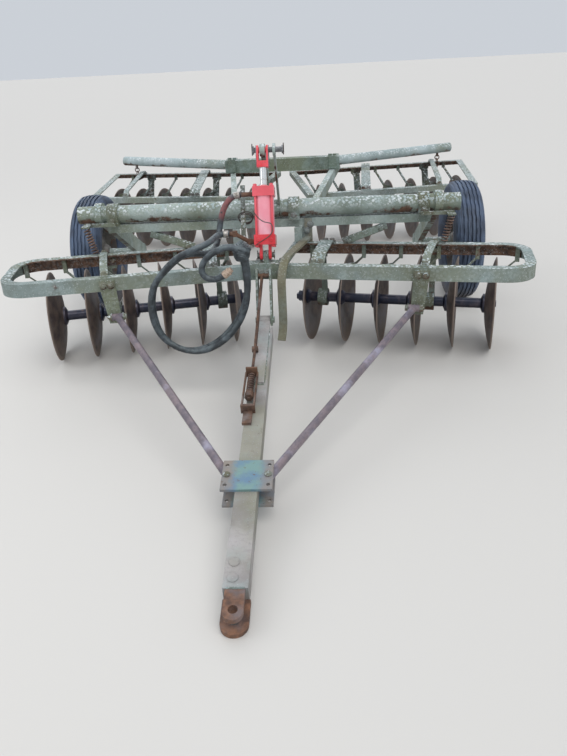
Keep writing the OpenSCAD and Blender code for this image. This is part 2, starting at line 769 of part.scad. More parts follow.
module cylinder_barrel() {
    color(lift_red) set_down() cylinder_place() {
        difference() {
            union() {
                translate([-cap_side / 2, -cap_side / 2, base_cap_at])
                    cube([cap_side, cap_side, base_cap_len]);
                translate([0, 0, base_cap_at + base_cap_len - 5])
                    cylinder(d = barrel_d, h = gland_at - base_cap_at - base_cap_len + 10);
                translate([-cap_side / 2, -cap_side / 2, gland_at])
                    cube([cap_side, cap_side, gland_len]);
                for (y = [-1, 1]) {
                    translate([-base_ear_d / 2, y * (base_ear_gap + base_ear_t) / 2 - base_ear_t / 2, 0])
                        cube([base_ear_d, base_ear_t, base_cap_at + 4]);
                    translate([0, y * (base_ear_gap + base_ear_t) / 2, 0]) rotate([90, 0, 0])
                        cylinder(d = base_ear_d, h = base_ear_t, center = true);
                }
                for (x = [-1, 1], y = [-1, 1]) translate([x * tie_rod_at, y * tie_rod_at, 0]) {
                    translate([0, 0, base_cap_at - 8])
                        cylinder(d = 11, h = gland_at + gland_len - base_cap_at + 20);
                    translate([0, 0, base_cap_at - 10]) cylinder(d = 20, h = 10, $fn = 6);
                    translate([0, 0, gland_at + gland_len]) cylinder(d = 20, h = 10, $fn = 6);
                }
            }
            translate([0, 0, base_cap_at + base_cap_len])
                cylinder(d = barrel_bore, h = gland_at + 6 - base_cap_at - base_cap_len);
            translate([0, 0, gland_at]) cylinder(d = rod_d + 2 * running_gap, h = gland_len + 2);
            pin_cross(0, 100, cyl_pin_d + 1);
        }
    }
}

yoke_at = pin_span - yoke_len;

module cylinder_rod() {
    piston_len = 28;
    piston_at = base_cap_at + base_cap_len + stroke_out;
    color(chrome) set_down() cylinder_place() {
        translate([0, 0, piston_at]) cylinder(d = barrel_bore - 2 * running_gap, h = piston_len);
        translate([0, 0, piston_at + 1]) cylinder(d = rod_d, h = yoke_at - piston_at - 1 - small_gap);
    }
}

module cylinder_yoke() {
    ear_at = yoke_half - yoke_ear_t / 2;
    color(lift_red) set_down() cylinder_place() {
        translate([-yoke_depth / 2, -yoke_half, yoke_at]) cube([yoke_depth, 2 * yoke_half, 28]);
        for (y = [-1, 1]) {
            translate([-yoke_depth / 2, y * ear_at - yoke_ear_t / 2, yoke_at])
                cube([yoke_depth, yoke_ear_t, yoke_len]);
            translate([0, y * ear_at, pin_span]) rotate([90, 0, 0])
                cylinder(d = yoke_depth, h = yoke_ear_t, center = true);
        }
        translate([0, -96, pin_span]) rotate([-90, 0, 0]) cylinder(d = cyl_pin_d, h = 46 + 96);
        for (y = [-96, 40]) translate([0, y, pin_span]) rotate([-90, 0, 0]) cylinder(d = 38, h = 6);
    }
}

// Plates that join the two front bars and carry the cylinder's base and the tongue's pivot

splice_from = 66;
splice_to = 172;
splice_t = 12;
splice_back = -350;
splice_front_y = front_frame_y - splice_from * sin(front_angle)
    - (front_frame_fore + splice_t) * cos(front_angle) - 5;

module cylinder_anchor() {
    lug = base_ear_gap - 4;
    len = splice_to - splice_from;
    front = front_frame_fore + splice_t;
    color(dark_green) set_down() {
        both_sides() front_frame_place() {
            translate([splice_from, -front, front_frame_z]) cube([len, front + splice_back, splice_t]);
            translate([splice_from, -front, front_frame_z - angle_h])
                cube([len, splice_t, angle_h + splice_t]);
        }
        across(cylinder_x, base_pin_y, base_pin_z, lug, 42);
        translate([cylinder_x - lug / 2, base_pin_y - 21, front_frame_z + 4])
            cube([lug, 42, base_pin_z - front_frame_z - 4]);
        across(cylinder_x, base_pin_y, base_pin_z, base_ear_gap + 2 * base_ear_t + 28, cyl_pin_d);
    }
}

// Tongue and hitch, drawn along local Y from the hitch pin

lower_ear_bottom = ear_gap / 2 + ear_t;
hitch_z = ear_front * sin(tongue_tilt) + lower_ear_bottom * cos(tongue_tilt);

module tongue_place() {
    translate([0, hitch_y, hitch_z]) rotate([tongue_tilt, 0, 0]) children();
}

module hitch_ear(w, front, z) {
    translate([0, 0, z]) linear_extrude(ear_t) difference() {
        union() {
            translate([-w / 2, w / 2 - front]) square([w, tongue_start + front - w / 2]);
            translate([0, w / 2 - front]) circle(d = w);
        }
        circle(d = hitch_hole_d);
    }
}

module hitch_clevis() {
    color(rust) set_down() tongue_place() {
        hitch_ear(lower_ear_w, ear_front, -ear_gap / 2 - ear_t);
        hitch_ear(upper_ear_w, 36, ear_gap / 2 - 3);
        translate([-26, tongue_start - 20, -ear_gap / 2 - 1]) cube([52, 20, ear_gap]);
    }
}

strap_w = 50;
strap_from = 1100;
pivot_d = 22;

// The tongue and the flat strap on its rear end, which reaches the pivot
module tongue() {
    color(frame_green) set_down() tongue_place() {
        translate([-tongue_w / 2, tongue_start, -tongue_h / 2]) cube([tongue_w, tongue_len, tongue_h]);
        translate([-strap_w / 2, strap_from, tongue_h / 2])
            cube([strap_w, pivot_at - strap_from, strap_t]);
        across(0, pivot_at, pivot_up, strap_w, pivot_d + 18);
    }
}

clamp_hole_x = clamp_w / 2 - 15;
clamp_hole_y = clamp_len / 2 - 24;

module clamp_plate() {
    linear_extrude(clamp_t) difference() {
        translate([-clamp_w / 2, -clamp_len / 2]) square([clamp_w, clamp_len]);
        for (x = [-1, 1], y = [-1, 1]) translate([x * clamp_hole_x, y * clamp_hole_y])
            circle(d = clamp_hole_d);
    }
}

module tongue_clamp() {
    color(plate_blue) set_down() tongue_place() translate([0, clamp_at, 0]) {
        translate([0, 0, tongue_h / 2]) clamp_plate();
        translate([0, 0, -tongue_h / 2 - clamp_t]) clamp_plate();
    }
}

function tongue_point(x, along, up) = [x,
    hitch_y + along * cos(tongue_tilt) - up * sin(tongue_tilt),
    hitch_z + along * sin(tongue_tilt) + up * cos(tongue_tilt)];

bracket_at = 806;
bracket_t = 12;
bracket_low = 340;
brace_at = 776;
brace_top_z = 376;
brace_top = front_frame_point(brace_at, -front_frame_fore - bracket_t - brace_d / 2 - small_gap, brace_top_z);
brace_low = tongue_point(tongue_w / 2 + brace_d / 2 + 3, clamp_at + 4, 0);

module braces() {
    color(rust) set_down() both_sides() {
        rod(brace_low, brace_top, brace_d);
        translate(brace_top) rotate([0, 0, -front_angle]) across(0, 0, 0, 52, brace_d);
    }
}

module brace_brackets() {
    top = front_frame_z - 10;
    color(dark_green) set_down() both_sides() front_frame_place()
        translate([bracket_at, -front_frame_fore, 0]) rotate([90, 0, 0]) linear_extrude(bracket_t)
            polygon([[-38, top], [38, top], [12, bracket_low], [-46, bracket_low]]);
}

// Hanger plates from the splice down to the tongue's pivot pin
bracket_gap = strap_w / 2 + 2;

module tongue_bracket() {
    pivot = tongue_point(0, pivot_at, pivot_up);
    plate_t = 10;
    face = splice_front_y + 8;
    top = front_frame_z - 6;
    g = small_gap;
    outline = [[face, top], [face, front_frame_z - angle_h - 30], [pivot[1] + 30, pivot[2] - 22],
        [pivot[1] - 26, pivot[2] - 22], [pivot[1] - 26, pivot[2] + 30], [face - 48, top]];
    color(dark_green) set_down() difference() {
        union() {
            for (x = [bracket_gap, -bracket_gap - plate_t])
                translate([x, 0, 0]) rotate([90, 0, 90]) linear_extrude(plate_t) polygon(outline);
            for (x = [bracket_gap + plate_t - 1, -bracket_gap - plate_t - 8])
                translate([x, pivot[1], pivot[2]]) rotate([0, 90, 0]) cylinder(d = pivot_d + 8, h = 9);
        }
        both_sides() front_frame_place()
            translate([splice_from - 4, -front_frame_fore - splice_t - g, front_frame_z - angle_h - g])
                cube([splice_to - splice_from, splice_t + 60, angle_h + splice_t + 2 * g]);
    }
}

level_x = -26;
level_up = tongue_h / 2 + 28;
level_rod_d = 12;
level_seat = 1135;
level_end = 1330;
level_from = 962;
spring_from = 1012;

// The levelling rod with its nut, spring seat and yoke, and its bar up to the bracket
module levelling_rod() {
    low = tongue_point(level_x, level_end, level_up);
    high = [-8, splice_front_y - 16, front_frame_z - 40];
    seat = tongue_h / 2 + small_gap;
    color(rust) set_down() {
        rod(tongue_point(level_x, level_from, level_up), low, level_rod_d);
        across(low[0], low[1], low[2], 26, 28);
        flat(low, high, 10, 26);
        across(0, high[1], high[2], 2 * bracket_gap - 1, 22);
        tongue_place() {
            translate([level_x - 24, level_seat + 4, seat + strap_t]) cube([48, 10, 44]);
            translate([level_x, 970, level_up]) rotate([-90, 0, 0]) cylinder(d = 36, h = 36, $fn = 6);
            for (x = [-24, 24])
                translate([level_x + x - 3, 915, level_up - 8]) cube([6, level_seat - 908, 16]);
            translate([level_x - 28, 905, seat]) cube([56, 12, 38]);
            translate([level_x - 18, 830, seat]) cube([36, 76, 12]);
        }
    }
}

function helix(r, pitch, turns, steps) = [for (i = [0:turns * steps])
    [r * cos(i * 360 / steps), r * sin(i * 360 / steps), pitch * i / steps]];

// The spring round the levelling rod
module levelling_spring() {
    first = spring_from - 2;
    len = level_seat - first;
    color(rust) set_down() tongue_place() translate([level_x, first, level_up]) rotate([-90, 0, 0])
        tube(helix(12, len / 8, 8, 12), 6, 6);
}

shank_x = 208;
shank_turn = 15.5;
shank_w = 38;
shank_t = 12;
shank_z = 590;
shank_reach = 352;
shank_bend_r = 110;
shank_tip_r = 150;
shank_tip_z = 330;

// A spring shank that runs forward over the front bar, bends down and ends in a curved tip
module centre_shank() {
    front = -shank_reach - shank_bend_r - shank_t;
    color(dark_green) set_down() {
        translate([shank_x - 17, -cross_bar_w / 2 - 10 - small_gap, shank_z - 18]) cube([40, 10, 122]);
        translate([shank_x + 2, -cross_bar_w / 2 - 5, 0]) rotate([0, 0, -shank_turn])
            translate([-shank_w / 2, 0, 0]) rotate([90, 0, 90]) linear_extrude(shank_w) {
                translate([-shank_reach, shank_z]) square([shank_reach, shank_t]);
                translate([-shank_reach, shank_z - shank_bend_r])
                    arc_bar(shank_bend_r + shank_t, shank_bend_r, 90, 180);
                translate([front, shank_tip_z]) square([shank_t, shank_z - shank_bend_r - shank_tip_z]);
                translate([front - shank_tip_r, shank_tip_z])
                    arc_bar(shank_tip_r + shank_t, shank_tip_r, -42, 0);
            }
    }
}

// A flat ring sector between two radii, from one angle to the next
module arc_bar(outer, inner, from, to) {
    reach = 2 * outer;
    difference() {
        circle(r = outer, $fn = 72);
        circle(r = inner, $fn = 72);
        if (to - from > 60) {
            translate([0, -reach]) square([reach, 2 * reach]);
            translate([-reach, -reach]) square([2 * reach, reach]);
        } else {
            translate([-reach, 0]) square([2 * reach, reach]);
            rotate(from) translate([-reach, -reach]) square([2 * reach, reach]);
        }
    }
}

spring_wire = 6.5;
spring_end = spring_wire / 2 + 4 + small_gap;
gang_spring_top = [922, -100, bearing_seat + 6 - spring_end];
gang_spring_low = [890, -106, front_frame_z + spring_end];

module gang_springs() {
    span = norm(gang_spring_low - gang_spring_top);
    color(rust) set_down() both_sides() aim(gang_spring_low, gang_spring_top)
        tube(helix(15, span / 9, 9, 12), spring_wire, 6);
}

// A bar beside the cylinder whose ring once held up the hoses
module hose_support() {
    foot = [-93, splice_front_y + 30, front_frame_z + splice_t + small_gap];
    top = [-95, -200, 900];
    color(dark_green) set_down() {
        flat(foot + [0, 2, 4], top, 22, 8);
        translate(foot + [-16, -16, 0]) cube([32, 32, 8]);
    }
}

// Pipe and fittings on the barrel, which the hoses screw into
port_low = [-150, -392, 716];
port_high = [-96, -290, 874];

module hose_fittings() {
    cap_face = cylinder_x - cap_side / 2 - small_gap;
    elbow = [-64, -350, 666];
    turn = [-126, port_low[1], port_low[2]];
    color(rust) set_down() {
        rod([cap_face, elbow[1], elbow[2]], elbow, 22);
        rod(elbow, turn, 19);
        rod(turn, port_low, 22);
        for (p = [elbow, turn]) translate(p - [0, 0, 13]) cylinder(d = 26, h = 26, $fn = 6);
        rod([cap_face, port_high[1], port_high[2]], port_high, 22);
    }
}

// A hose's route is swept along these points, chosen by hand
hose_start = [-0.7, 0, 0];
hose_long_route = [port_high + hose_start, [-112, -290, 873], [-132, -291, 867], [-157, -294, 848],
    [-181, -299, 812], [-197, -306, 765], [-207, -318, 718], [-214, -344, 680], [-222, -386, 656],
    [-236, -440, 648], [-262, -500, 656], [-300, -552, 672], [-350, -584, 668], [-418, -590, 616],
    [-477, -590, 552], [-502, -590, 470], [-502, -590, 390], [-482, -590, 306], [-426, -590, 242],
    [-359, -590, 219], [-282, -590, 229], [-206, -590, 271], [-145, -590, 331], [-97, -590, 405],
    [-66, -590, 490], [-58, -589, 560], [-60, -587, 625], [-70, -584, 684]];
hose_short_route = [port_low + hose_start, [-168, -392, 716], [-187, -397, 716], [-201, -420, 718],
    [-207, -458, 721], [-211, -510, 724], [-220, -560, 724], [-246, -600, 718], [-300, -620, 702],
    [-368, -624, 668], [-436, -624, 606], [-484, -624, 538], [-504, -624, 460], [-500, -624, 378],
    [-474, -624, 310], [-428, -624, 264], [-360, -624, 232], [-282, -624, 230], [-208, -624, 262],
    [-146, -624, 314], [-98, -624, 382], [-68, -624, 460], [-60, -624, 540], [-62, -626, 610],
    [-70, -632, 664], [-90, -643, 704], [-124, -653, 722], [-166, -660, 714], [-208, -662, 692],
    [-240, -662, 658], [-249, -662, 622], [-233, -662, 594], [-200, -662, 584], [-165, -662, 594],
    [-138, -662, 612]];

module hose_long() { color(hose_black) set_down() tube(smooth_path(hose_long_route, 2), hose_d, 8); }
module hose_short() { color(hose_black) set_down() tube(smooth_path(hose_short_route, 2), hose_d, 8); }

// A round bar swept along a path of points

function unit(v) = v / norm(v);
function heading(path, i) = let (n = len(path) - 1)
    unit(path[min(i + 1, n)] - path[max(i - 1, 0)]);
function side_step(side, ahead) = unit(side - (side * ahead) * ahead);
function first_side(ahead) = side_step(abs(ahead[2]) < 0.8 ? [0, 0, 1] : [1, 0, 0], ahead);
function sides_along(path, i, side) = i >= len(path) ? []
    : let (next = side_step(side, heading(path, i))) concat([next], sides_along(path, i + 1, next));

function curve_point(a, b, c, d, t) = 0.5 * (2 * b + (c - a) * t + (2 * a - 5 * b + 4 * c - d) * t * t
    + (3 * b - a - 3 * c + d) * t * t * t);
function smooth_path(route, steps) = let (n = len(route) - 1) concat(
    [for (i = [0:n - 1], k = [0:steps - 1])
        curve_point(route[max(i - 1, 0)], route[i], route[i + 1], route[min(i + 2, n)], k / steps)],
    [route[n]]);

module tube(path, d, sides) {
    rings = len(path);
    across_path = sides_along(path, 0, first_side(heading(path, 0)));
    points = [for (i = [0:rings - 1]) let (u = across_path[i], v = cross(heading(path, i), u))
        for (k = [0:sides - 1]) path[i] + d / 2 * (cos(k * 360 / sides) * u + sin(k * 360 / sides) * v)];
    walls = [for (i = [0:rings - 2], k = [0:sides - 1]) let (m = (k + 1) % sides)
        for (face = [[i * sides + k, (i + 1) * sides + k, (i + 1) * sides + m],
            [i * sides + k, (i + 1) * sides + m, i * sides + m]]) face];
    ends = [[for (k = [0:sides - 1]) k], [for (k = [sides - 1:-1:0]) (rings - 1) * sides + k]];
    polyhedron(points = points, faces = concat(walls, ends));
}

hitch_clevis();
tongue();
tongue_clamp();
braces();
brace_brackets();
tongue_bracket();
levelling_rod();
levelling_spring();
main_frame();
rear_beam();
rear_arms();
rear_chains();
front_frame_left();
front_frame_right();
rear_frame_left();
rear_frame_right();
front_hangers();
rear_hangers();
front_scrapers();
rear_scrapers();
centre_shank();
shaft_bearings();
gang_springs();
cylinder_anchor();
hose_support();
hose_fittings();
hose_long();
hose_short();
rockshaft();
wheel_arms();
cylinder_barrel();
cylinder_rod();
cylinder_yoke();
tyre_left();
rim_left();
tyre_right();
rim_right();
discs_front_left();
arbor_front_left();
discs_front_right();
arbor_front_right();
discs_rear_left();
arbor_rear_left();
discs_rear_right();
arbor_rear_right();
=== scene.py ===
# Looks of the disc harrow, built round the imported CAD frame. Sizes in mm unless a name says otherwise
import json
import math

import bmesh
import bpy
from mathutils import Matrix, Vector, noise


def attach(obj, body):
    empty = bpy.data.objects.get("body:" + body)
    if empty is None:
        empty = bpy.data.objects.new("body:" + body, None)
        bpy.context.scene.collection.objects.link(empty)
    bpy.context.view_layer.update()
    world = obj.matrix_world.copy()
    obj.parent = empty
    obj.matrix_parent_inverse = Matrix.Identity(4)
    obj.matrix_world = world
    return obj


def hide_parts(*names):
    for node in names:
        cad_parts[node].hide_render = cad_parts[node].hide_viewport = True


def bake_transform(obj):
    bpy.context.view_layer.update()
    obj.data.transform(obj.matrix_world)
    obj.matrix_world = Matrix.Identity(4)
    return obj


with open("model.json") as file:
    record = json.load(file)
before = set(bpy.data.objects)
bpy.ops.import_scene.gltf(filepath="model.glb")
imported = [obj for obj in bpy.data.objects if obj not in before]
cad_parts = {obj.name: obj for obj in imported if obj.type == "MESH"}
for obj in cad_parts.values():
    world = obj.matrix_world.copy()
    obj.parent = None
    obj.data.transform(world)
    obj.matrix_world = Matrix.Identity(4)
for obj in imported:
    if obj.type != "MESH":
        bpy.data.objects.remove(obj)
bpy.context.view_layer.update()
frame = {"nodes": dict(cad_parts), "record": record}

# Sizes and places repeated from the part's source, with Y = 0 under the rockshaft

MIDDLE_Y = 191.669
DISC_R = 237.5
DISC_PITCH = 190.5
AXLE_ANGLE = math.radians(12.5)
FRAME_ANGLE = math.radians(9.5)
REAR_ANGLE = math.radians(9.0)
FRONT_AXLE_Y = 130
FRONT_FRAME_Y = 23
REAR_AXLE_Y = 2070
FRONT_FIRST = 189
REAR_FIRST = 320

# Tops of the angle iron frames, and their outer faces before and behind their own line

FRONT_TOP = 560
REAR_TOP = 583
FRONT_FORE = 407
FRONT_AFT = 42
REAR_FORE = 926
REAR_AFT = 104

RAIL_X = 165
RAIL_HALF = 19
RAIL_TOP = 652
RAIL_SPLAY = math.radians(6.7)
BAR_HALF = 22
SEAT_Z = 695.3
ROCK_Z = 745
BEARING_X = 795
MIDDLE_BEARING_X = 140
BEARING_HALF = 28
WHEEL_X = 1137
WHEEL_Y = 721
TYRE_R = 357
TONGUE_TILT = math.radians(8.7)
TONGUE_TOP = 32
CLAMP_AT = 545
EAR_FRONT = 47
EAR_BOTTOM = 35
HITCH_Y = -2100.02
HITCH_Z = EAR_FRONT * math.sin(TONGUE_TILT) + EAR_BOTTOM * math.cos(TONGUE_TILT)
BASE_PIN = (12, -366, 604)
ROD_PIN = (12, -225, 1062)
HOSE_D = 28

SIDES = (("left", -1), ("right", 1))
SIGNS = (-1, 1)
ACROSS = Vector((1, 0, 0))
AHEAD = Vector((0, -1, 0))
BACK = Vector((0, 1, 0))
UP = Vector((0, 0, 1))
TONGUE_UP = Vector((0, -math.sin(TONGUE_TILT), math.cos(TONGUE_TILT)))

# Each line of gangs or frames by its angle and its Y at the middle of the machine

LINES = {
    "front_axle": (-AXLE_ANGLE, FRONT_AXLE_Y),
    "front_frame": (-FRAME_ANGLE, FRONT_FRAME_Y),
    "rear": (REAR_ANGLE, REAR_AXLE_Y),
}


def at(x, y, z):
    """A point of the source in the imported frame's metres."""
    return Vector((x, y - MIDDLE_Y, z)) / 1000


def line_step(line, side, along, behind):
    """Across and backward parts of a step along and behind one of the lines, on one side."""
    angle = LINES[line][0]
    x = along * math.cos(angle) - behind * math.sin(angle)
    y = along * math.sin(angle) + behind * math.cos(angle)
    return side * x, y


def line_point(line, side, along, behind, up):
    x, y = line_step(line, side, along, behind)
    return at(x, LINES[line][1] + y, up)


def line_way(line, side, along, behind):
    x, y = line_step(line, side, along, behind)
    return Vector((x, y, 0)).normalized()


def tongue_point(x, along, up):
    """A point by the sloping tongue: across, along it from the hitch, and square to it."""
    y = HITCH_Y + along * math.cos(TONGUE_TILT) - up * math.sin(TONGUE_TILT)
    z = HITCH_Z + along * math.sin(TONGUE_TILT) + up * math.cos(TONGUE_TILT)
    return at(x, y, z)


def cylinder_point(x, up, fore):
    """A point by the lift cylinder: across, up its axis, and out at its front."""
    run_y = ROD_PIN[1] - BASE_PIN[1]
    run_z = ROD_PIN[2] - BASE_PIN[2]
    span = math.hypot(run_y, run_z)
    y = run_y / span
    z = run_z / span
    return at(BASE_PIN[0] + x, BASE_PIN[1] + y * up - z * fore, BASE_PIN[2] + z * up + y * fore)


def cylinder_way():
    return (at(*ROD_PIN) - at(*BASE_PIN)).normalized()


# Camera, at the photograph's place and angle

CAMERA_AT = at(271.0, -3556.0, 1488.0)
CAMERA_YAW = math.radians(-3.7095)
CAMERA_PITCH = math.radians(25.6419)
CAMERA_ROLL = math.radians(-2.9913)
FOCAL_PIXELS = 688.886
PHOTO_HEIGHT = 756
SENSOR_MM = 36.0
CLIP_END_M = 100


def add_camera():
    data = bpy.data.cameras.new("camera")
    data.sensor_width = SENSOR_MM
    data.sensor_fit = "AUTO"
    data.lens = FOCAL_PIXELS * SENSOR_MM / PHOTO_HEIGHT
    data.clip_end = CLIP_END_M
    camera = bpy.data.objects.new("camera", data)
    bpy.context.scene.collection.objects.link(camera)
    ahead = Vector((math.sin(CAMERA_YAW) * math.cos(CAMERA_PITCH),
                    math.cos(CAMERA_YAW) * math.cos(CAMERA_PITCH), -math.sin(CAMERA_PITCH)))
    level = Vector((math.cos(CAMERA_YAW), -math.sin(CAMERA_YAW), 0))
    up = level.cross(ahead)
    right = math.cos(CAMERA_ROLL) * level + math.sin(CAMERA_ROLL) * up
    up = math.cos(CAMERA_ROLL) * up - math.sin(CAMERA_ROLL) * level
    turn = Matrix((right, up, -ahead)).transposed().to_4x4()
    camera.matrix_world = Matrix.Translation(CAMERA_AT) @ turn
    bpy.context.scene.camera = camera


# Mesh building blocks

STEEP = 0.95
WASHER_THICK = 3.5
BEAD_STEP = 3.0
CURVE_STEPS = 6


def square_to(way_out):
    """A direction with two more square to it, the first of them level unless it is steep."""
    way_out = Vector(way_out).normalized()
    first = way_out.orthogonal().normalized()
    if abs(way_out.z) < STEEP:
        first = UP.cross(way_out).normalized()
    return way_out, first, way_out.cross(first)


def round_way(first, second, turn):
    return first * math.cos(turn) + second * math.sin(turn)


def full_turn(count):
    """Angles in equal steps from 0 to just below a full turn."""
    return [2 * math.pi * k / count for k in range(count)]


def rippled(path, radius, waver):
    """A weld's rippled radius at each point of its path."""
    return [radius * (1 + 0.16 * math.sin(1.9 * i) + waver * noise.noise(p * 90))
            for i, p in enumerate(path)]


class Shape:
    """Turned, swept and flat solids gathered into one mesh."""

    def __init__(self):
        self.bm = bmesh.new()

    def ring(self, points):
        return [self.bm.verts.new(p) for p in points]

    def skin(self, rings):
        """Faces between each ring of corners and the next."""
        for a, b in zip(rings, rings[1:]):
            count = len(a)
            for k in range(count):
                m = (k + 1) % count
                self.bm.faces.new((a[k], a[m], b[m], b[k]))

    def close(self, rings):
        """The faces at both ends."""
        self.bm.faces.new(list(reversed(rings[0])))
        self.bm.faces.new(rings[-1])

    def turned(self, start, way_out, profile, sides=24, spin=0.0):
        """A closed solid turned round an axis from pairs of radius and height."""
        out, first, second = square_to(way_out)
        turns = [spin + turn for turn in full_turn(sides)]
        rings = []
        for radius, height in profile:
            rings.append(self.ring([start + (out * height + round_way(first, second, t) * radius) / 1000
                                    for t in turns]))
        self.skin(rings)
        self.close(rings)

    def tube(self, path, radius, sides=10, ends=True):
        """A bar swept along points; radius is one number or a list with one for each point."""
        rings = []
        last = len(path) - 1
        for i, p in enumerate(path):
            ahead = (path[min(i + 1, last)] - path[max(i - 1, 0)]).normalized()
            if i == 0:
                side = square_to(ahead)[1]
            side = (side - ahead * side.dot(ahead)).normalized()
            other = ahead.cross(side)
            r = (radius[i] if isinstance(radius, list) else radius) / 1000
            rings.append(self.ring([p + r * round_way(side, other, t) for t in full_turn(sides)]))
        self.skin(rings)
        if ends:
            self.close(rings)

    def bar(self, start, end, width, thick, level):
        """A flat bar with chamfered edges; level is the direction of its width."""
        ahead = (end - start).normalized()
        across = Vector(level).normalized()
        across = (across - ahead * across.dot(ahead)).normalized()
        up = ahead.cross(across)
        w = width / 2000
        t = thick / 2000
        c = thick * 0.3 / 1000
        outline = [(w - c, t), (w, t - c), (w, c - t), (w - c, -t),
                   (c - w, -t), (-w, c - t), (-w, t - c), (c - w, t)]
        rings = [self.ring([p + across * x + up * y for x, y in outline]) for p in (start, end)]
        self.skin(rings)
        self.close(rings)

    def bolt(self, start, way_out, flats, head, washer=True, stud=0, spin=0.3):
        """A hexagon head or nut with a chamfered top, a washer under it and a stud's end."""
        corner = flats / 2 / math.cos(math.pi / 6)
        base = WASHER_THICK if washer else 0
        top = base + head
        if washer:
            rim = [(flats * 0.78, 0), (flats * 0.8, 2.6), (flats * 0.75, base)]
            self.turned(start, way_out, rim, 20)
        self.turned(start, way_out, [(corner, base), (corner, top - 2), (corner * 0.88, top)], 6, spin)
        if stud:
            end = [(flats * 0.3, top - 1), (flats * 0.3, top + stud - 1.5), (flats * 0.24, top + stud)]
            self.turned(start, way_out, end, 14)

    def bead(self, path, radius=4.0):
        """A weld bead along straight runs between points, thin at both ends."""
        fine = []
        for a, b in zip(path, path[1:]):
            count = max(2, int((b - a).length * 1000 / BEAD_STEP))
            fine += [a.lerp(b, k / count) for k in range(count)]
        fine.append(path[-1])
        radii = rippled(fine, radius, 0.35)
        radii[0] = radius * 0.5
        radii[-1] = radius * 0.5
        self.tube(fine, radii, 7)

    def ring_bead(self, centre, ring_r, radius):
        """A weld bead round a bar that lies across the machine."""
        first, second = square_to(ACROSS)[1:]
        turns = full_turn(72) + [2 * math.pi]
        path = [centre + round_way(first, second, t) * ring_r / 1000 for t in turns]
        self.tube(path, rippled(path, radius, 0.3), 7)

    def piece(self, name, material, body, sharp_deg=38):
        """The mesh as one piece; body is None for a piece that is attached to no body."""
        bmesh.ops.recalc_face_normals(self.bm, faces=self.bm.faces)
        for edge in self.bm.edges:
            edge.smooth = len(edge.link_faces) == 2 and edge.calc_face_angle(0) < math.radians(sharp_deg)
        for face in self.bm.faces:
            face.smooth = True
        mesh = bpy.data.meshes.new(name)
        self.bm.to_mesh(mesh)
        self.bm.free()
        mesh.materials.append(material)
        obj = bpy.data.objects.new(name, mesh)
        bpy.context.scene.collection.objects.link(obj)
        if body:
            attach(obj, body)
        return obj


def smooth_path(route, steps=CURVE_STEPS):
    """The curve through a route's points, as in the source."""
    points = []
    last = len(route) - 1
    for i in range(last):
        a = Vector(route[max(i - 1, 0)])
        b = Vector(route[i])
        c = Vector(route[i + 1])
        d = Vector(route[min(i + 2, last)])
        for k in range(steps):
            t = k / steps
            points.append(0.5 * (2 * b + (c - a) * t + (2 * a - 5 * b + 4 * c - d) * t * t
                                 + (3 * b - a - 3 * c + d) * t * t * t))
    points.append(Vector(route[last]))
    return [at(*p) for p in points]


def part_of(path, start, end):
    """The points of a path between two distances along it, in mm."""
    found = []
    run = 0.0
    for a, b in zip(path, path[1:]):
        if start <= run <= end:
            found.append(a)
        run += (b - a).length * 1000
    return found


# Material building blocks


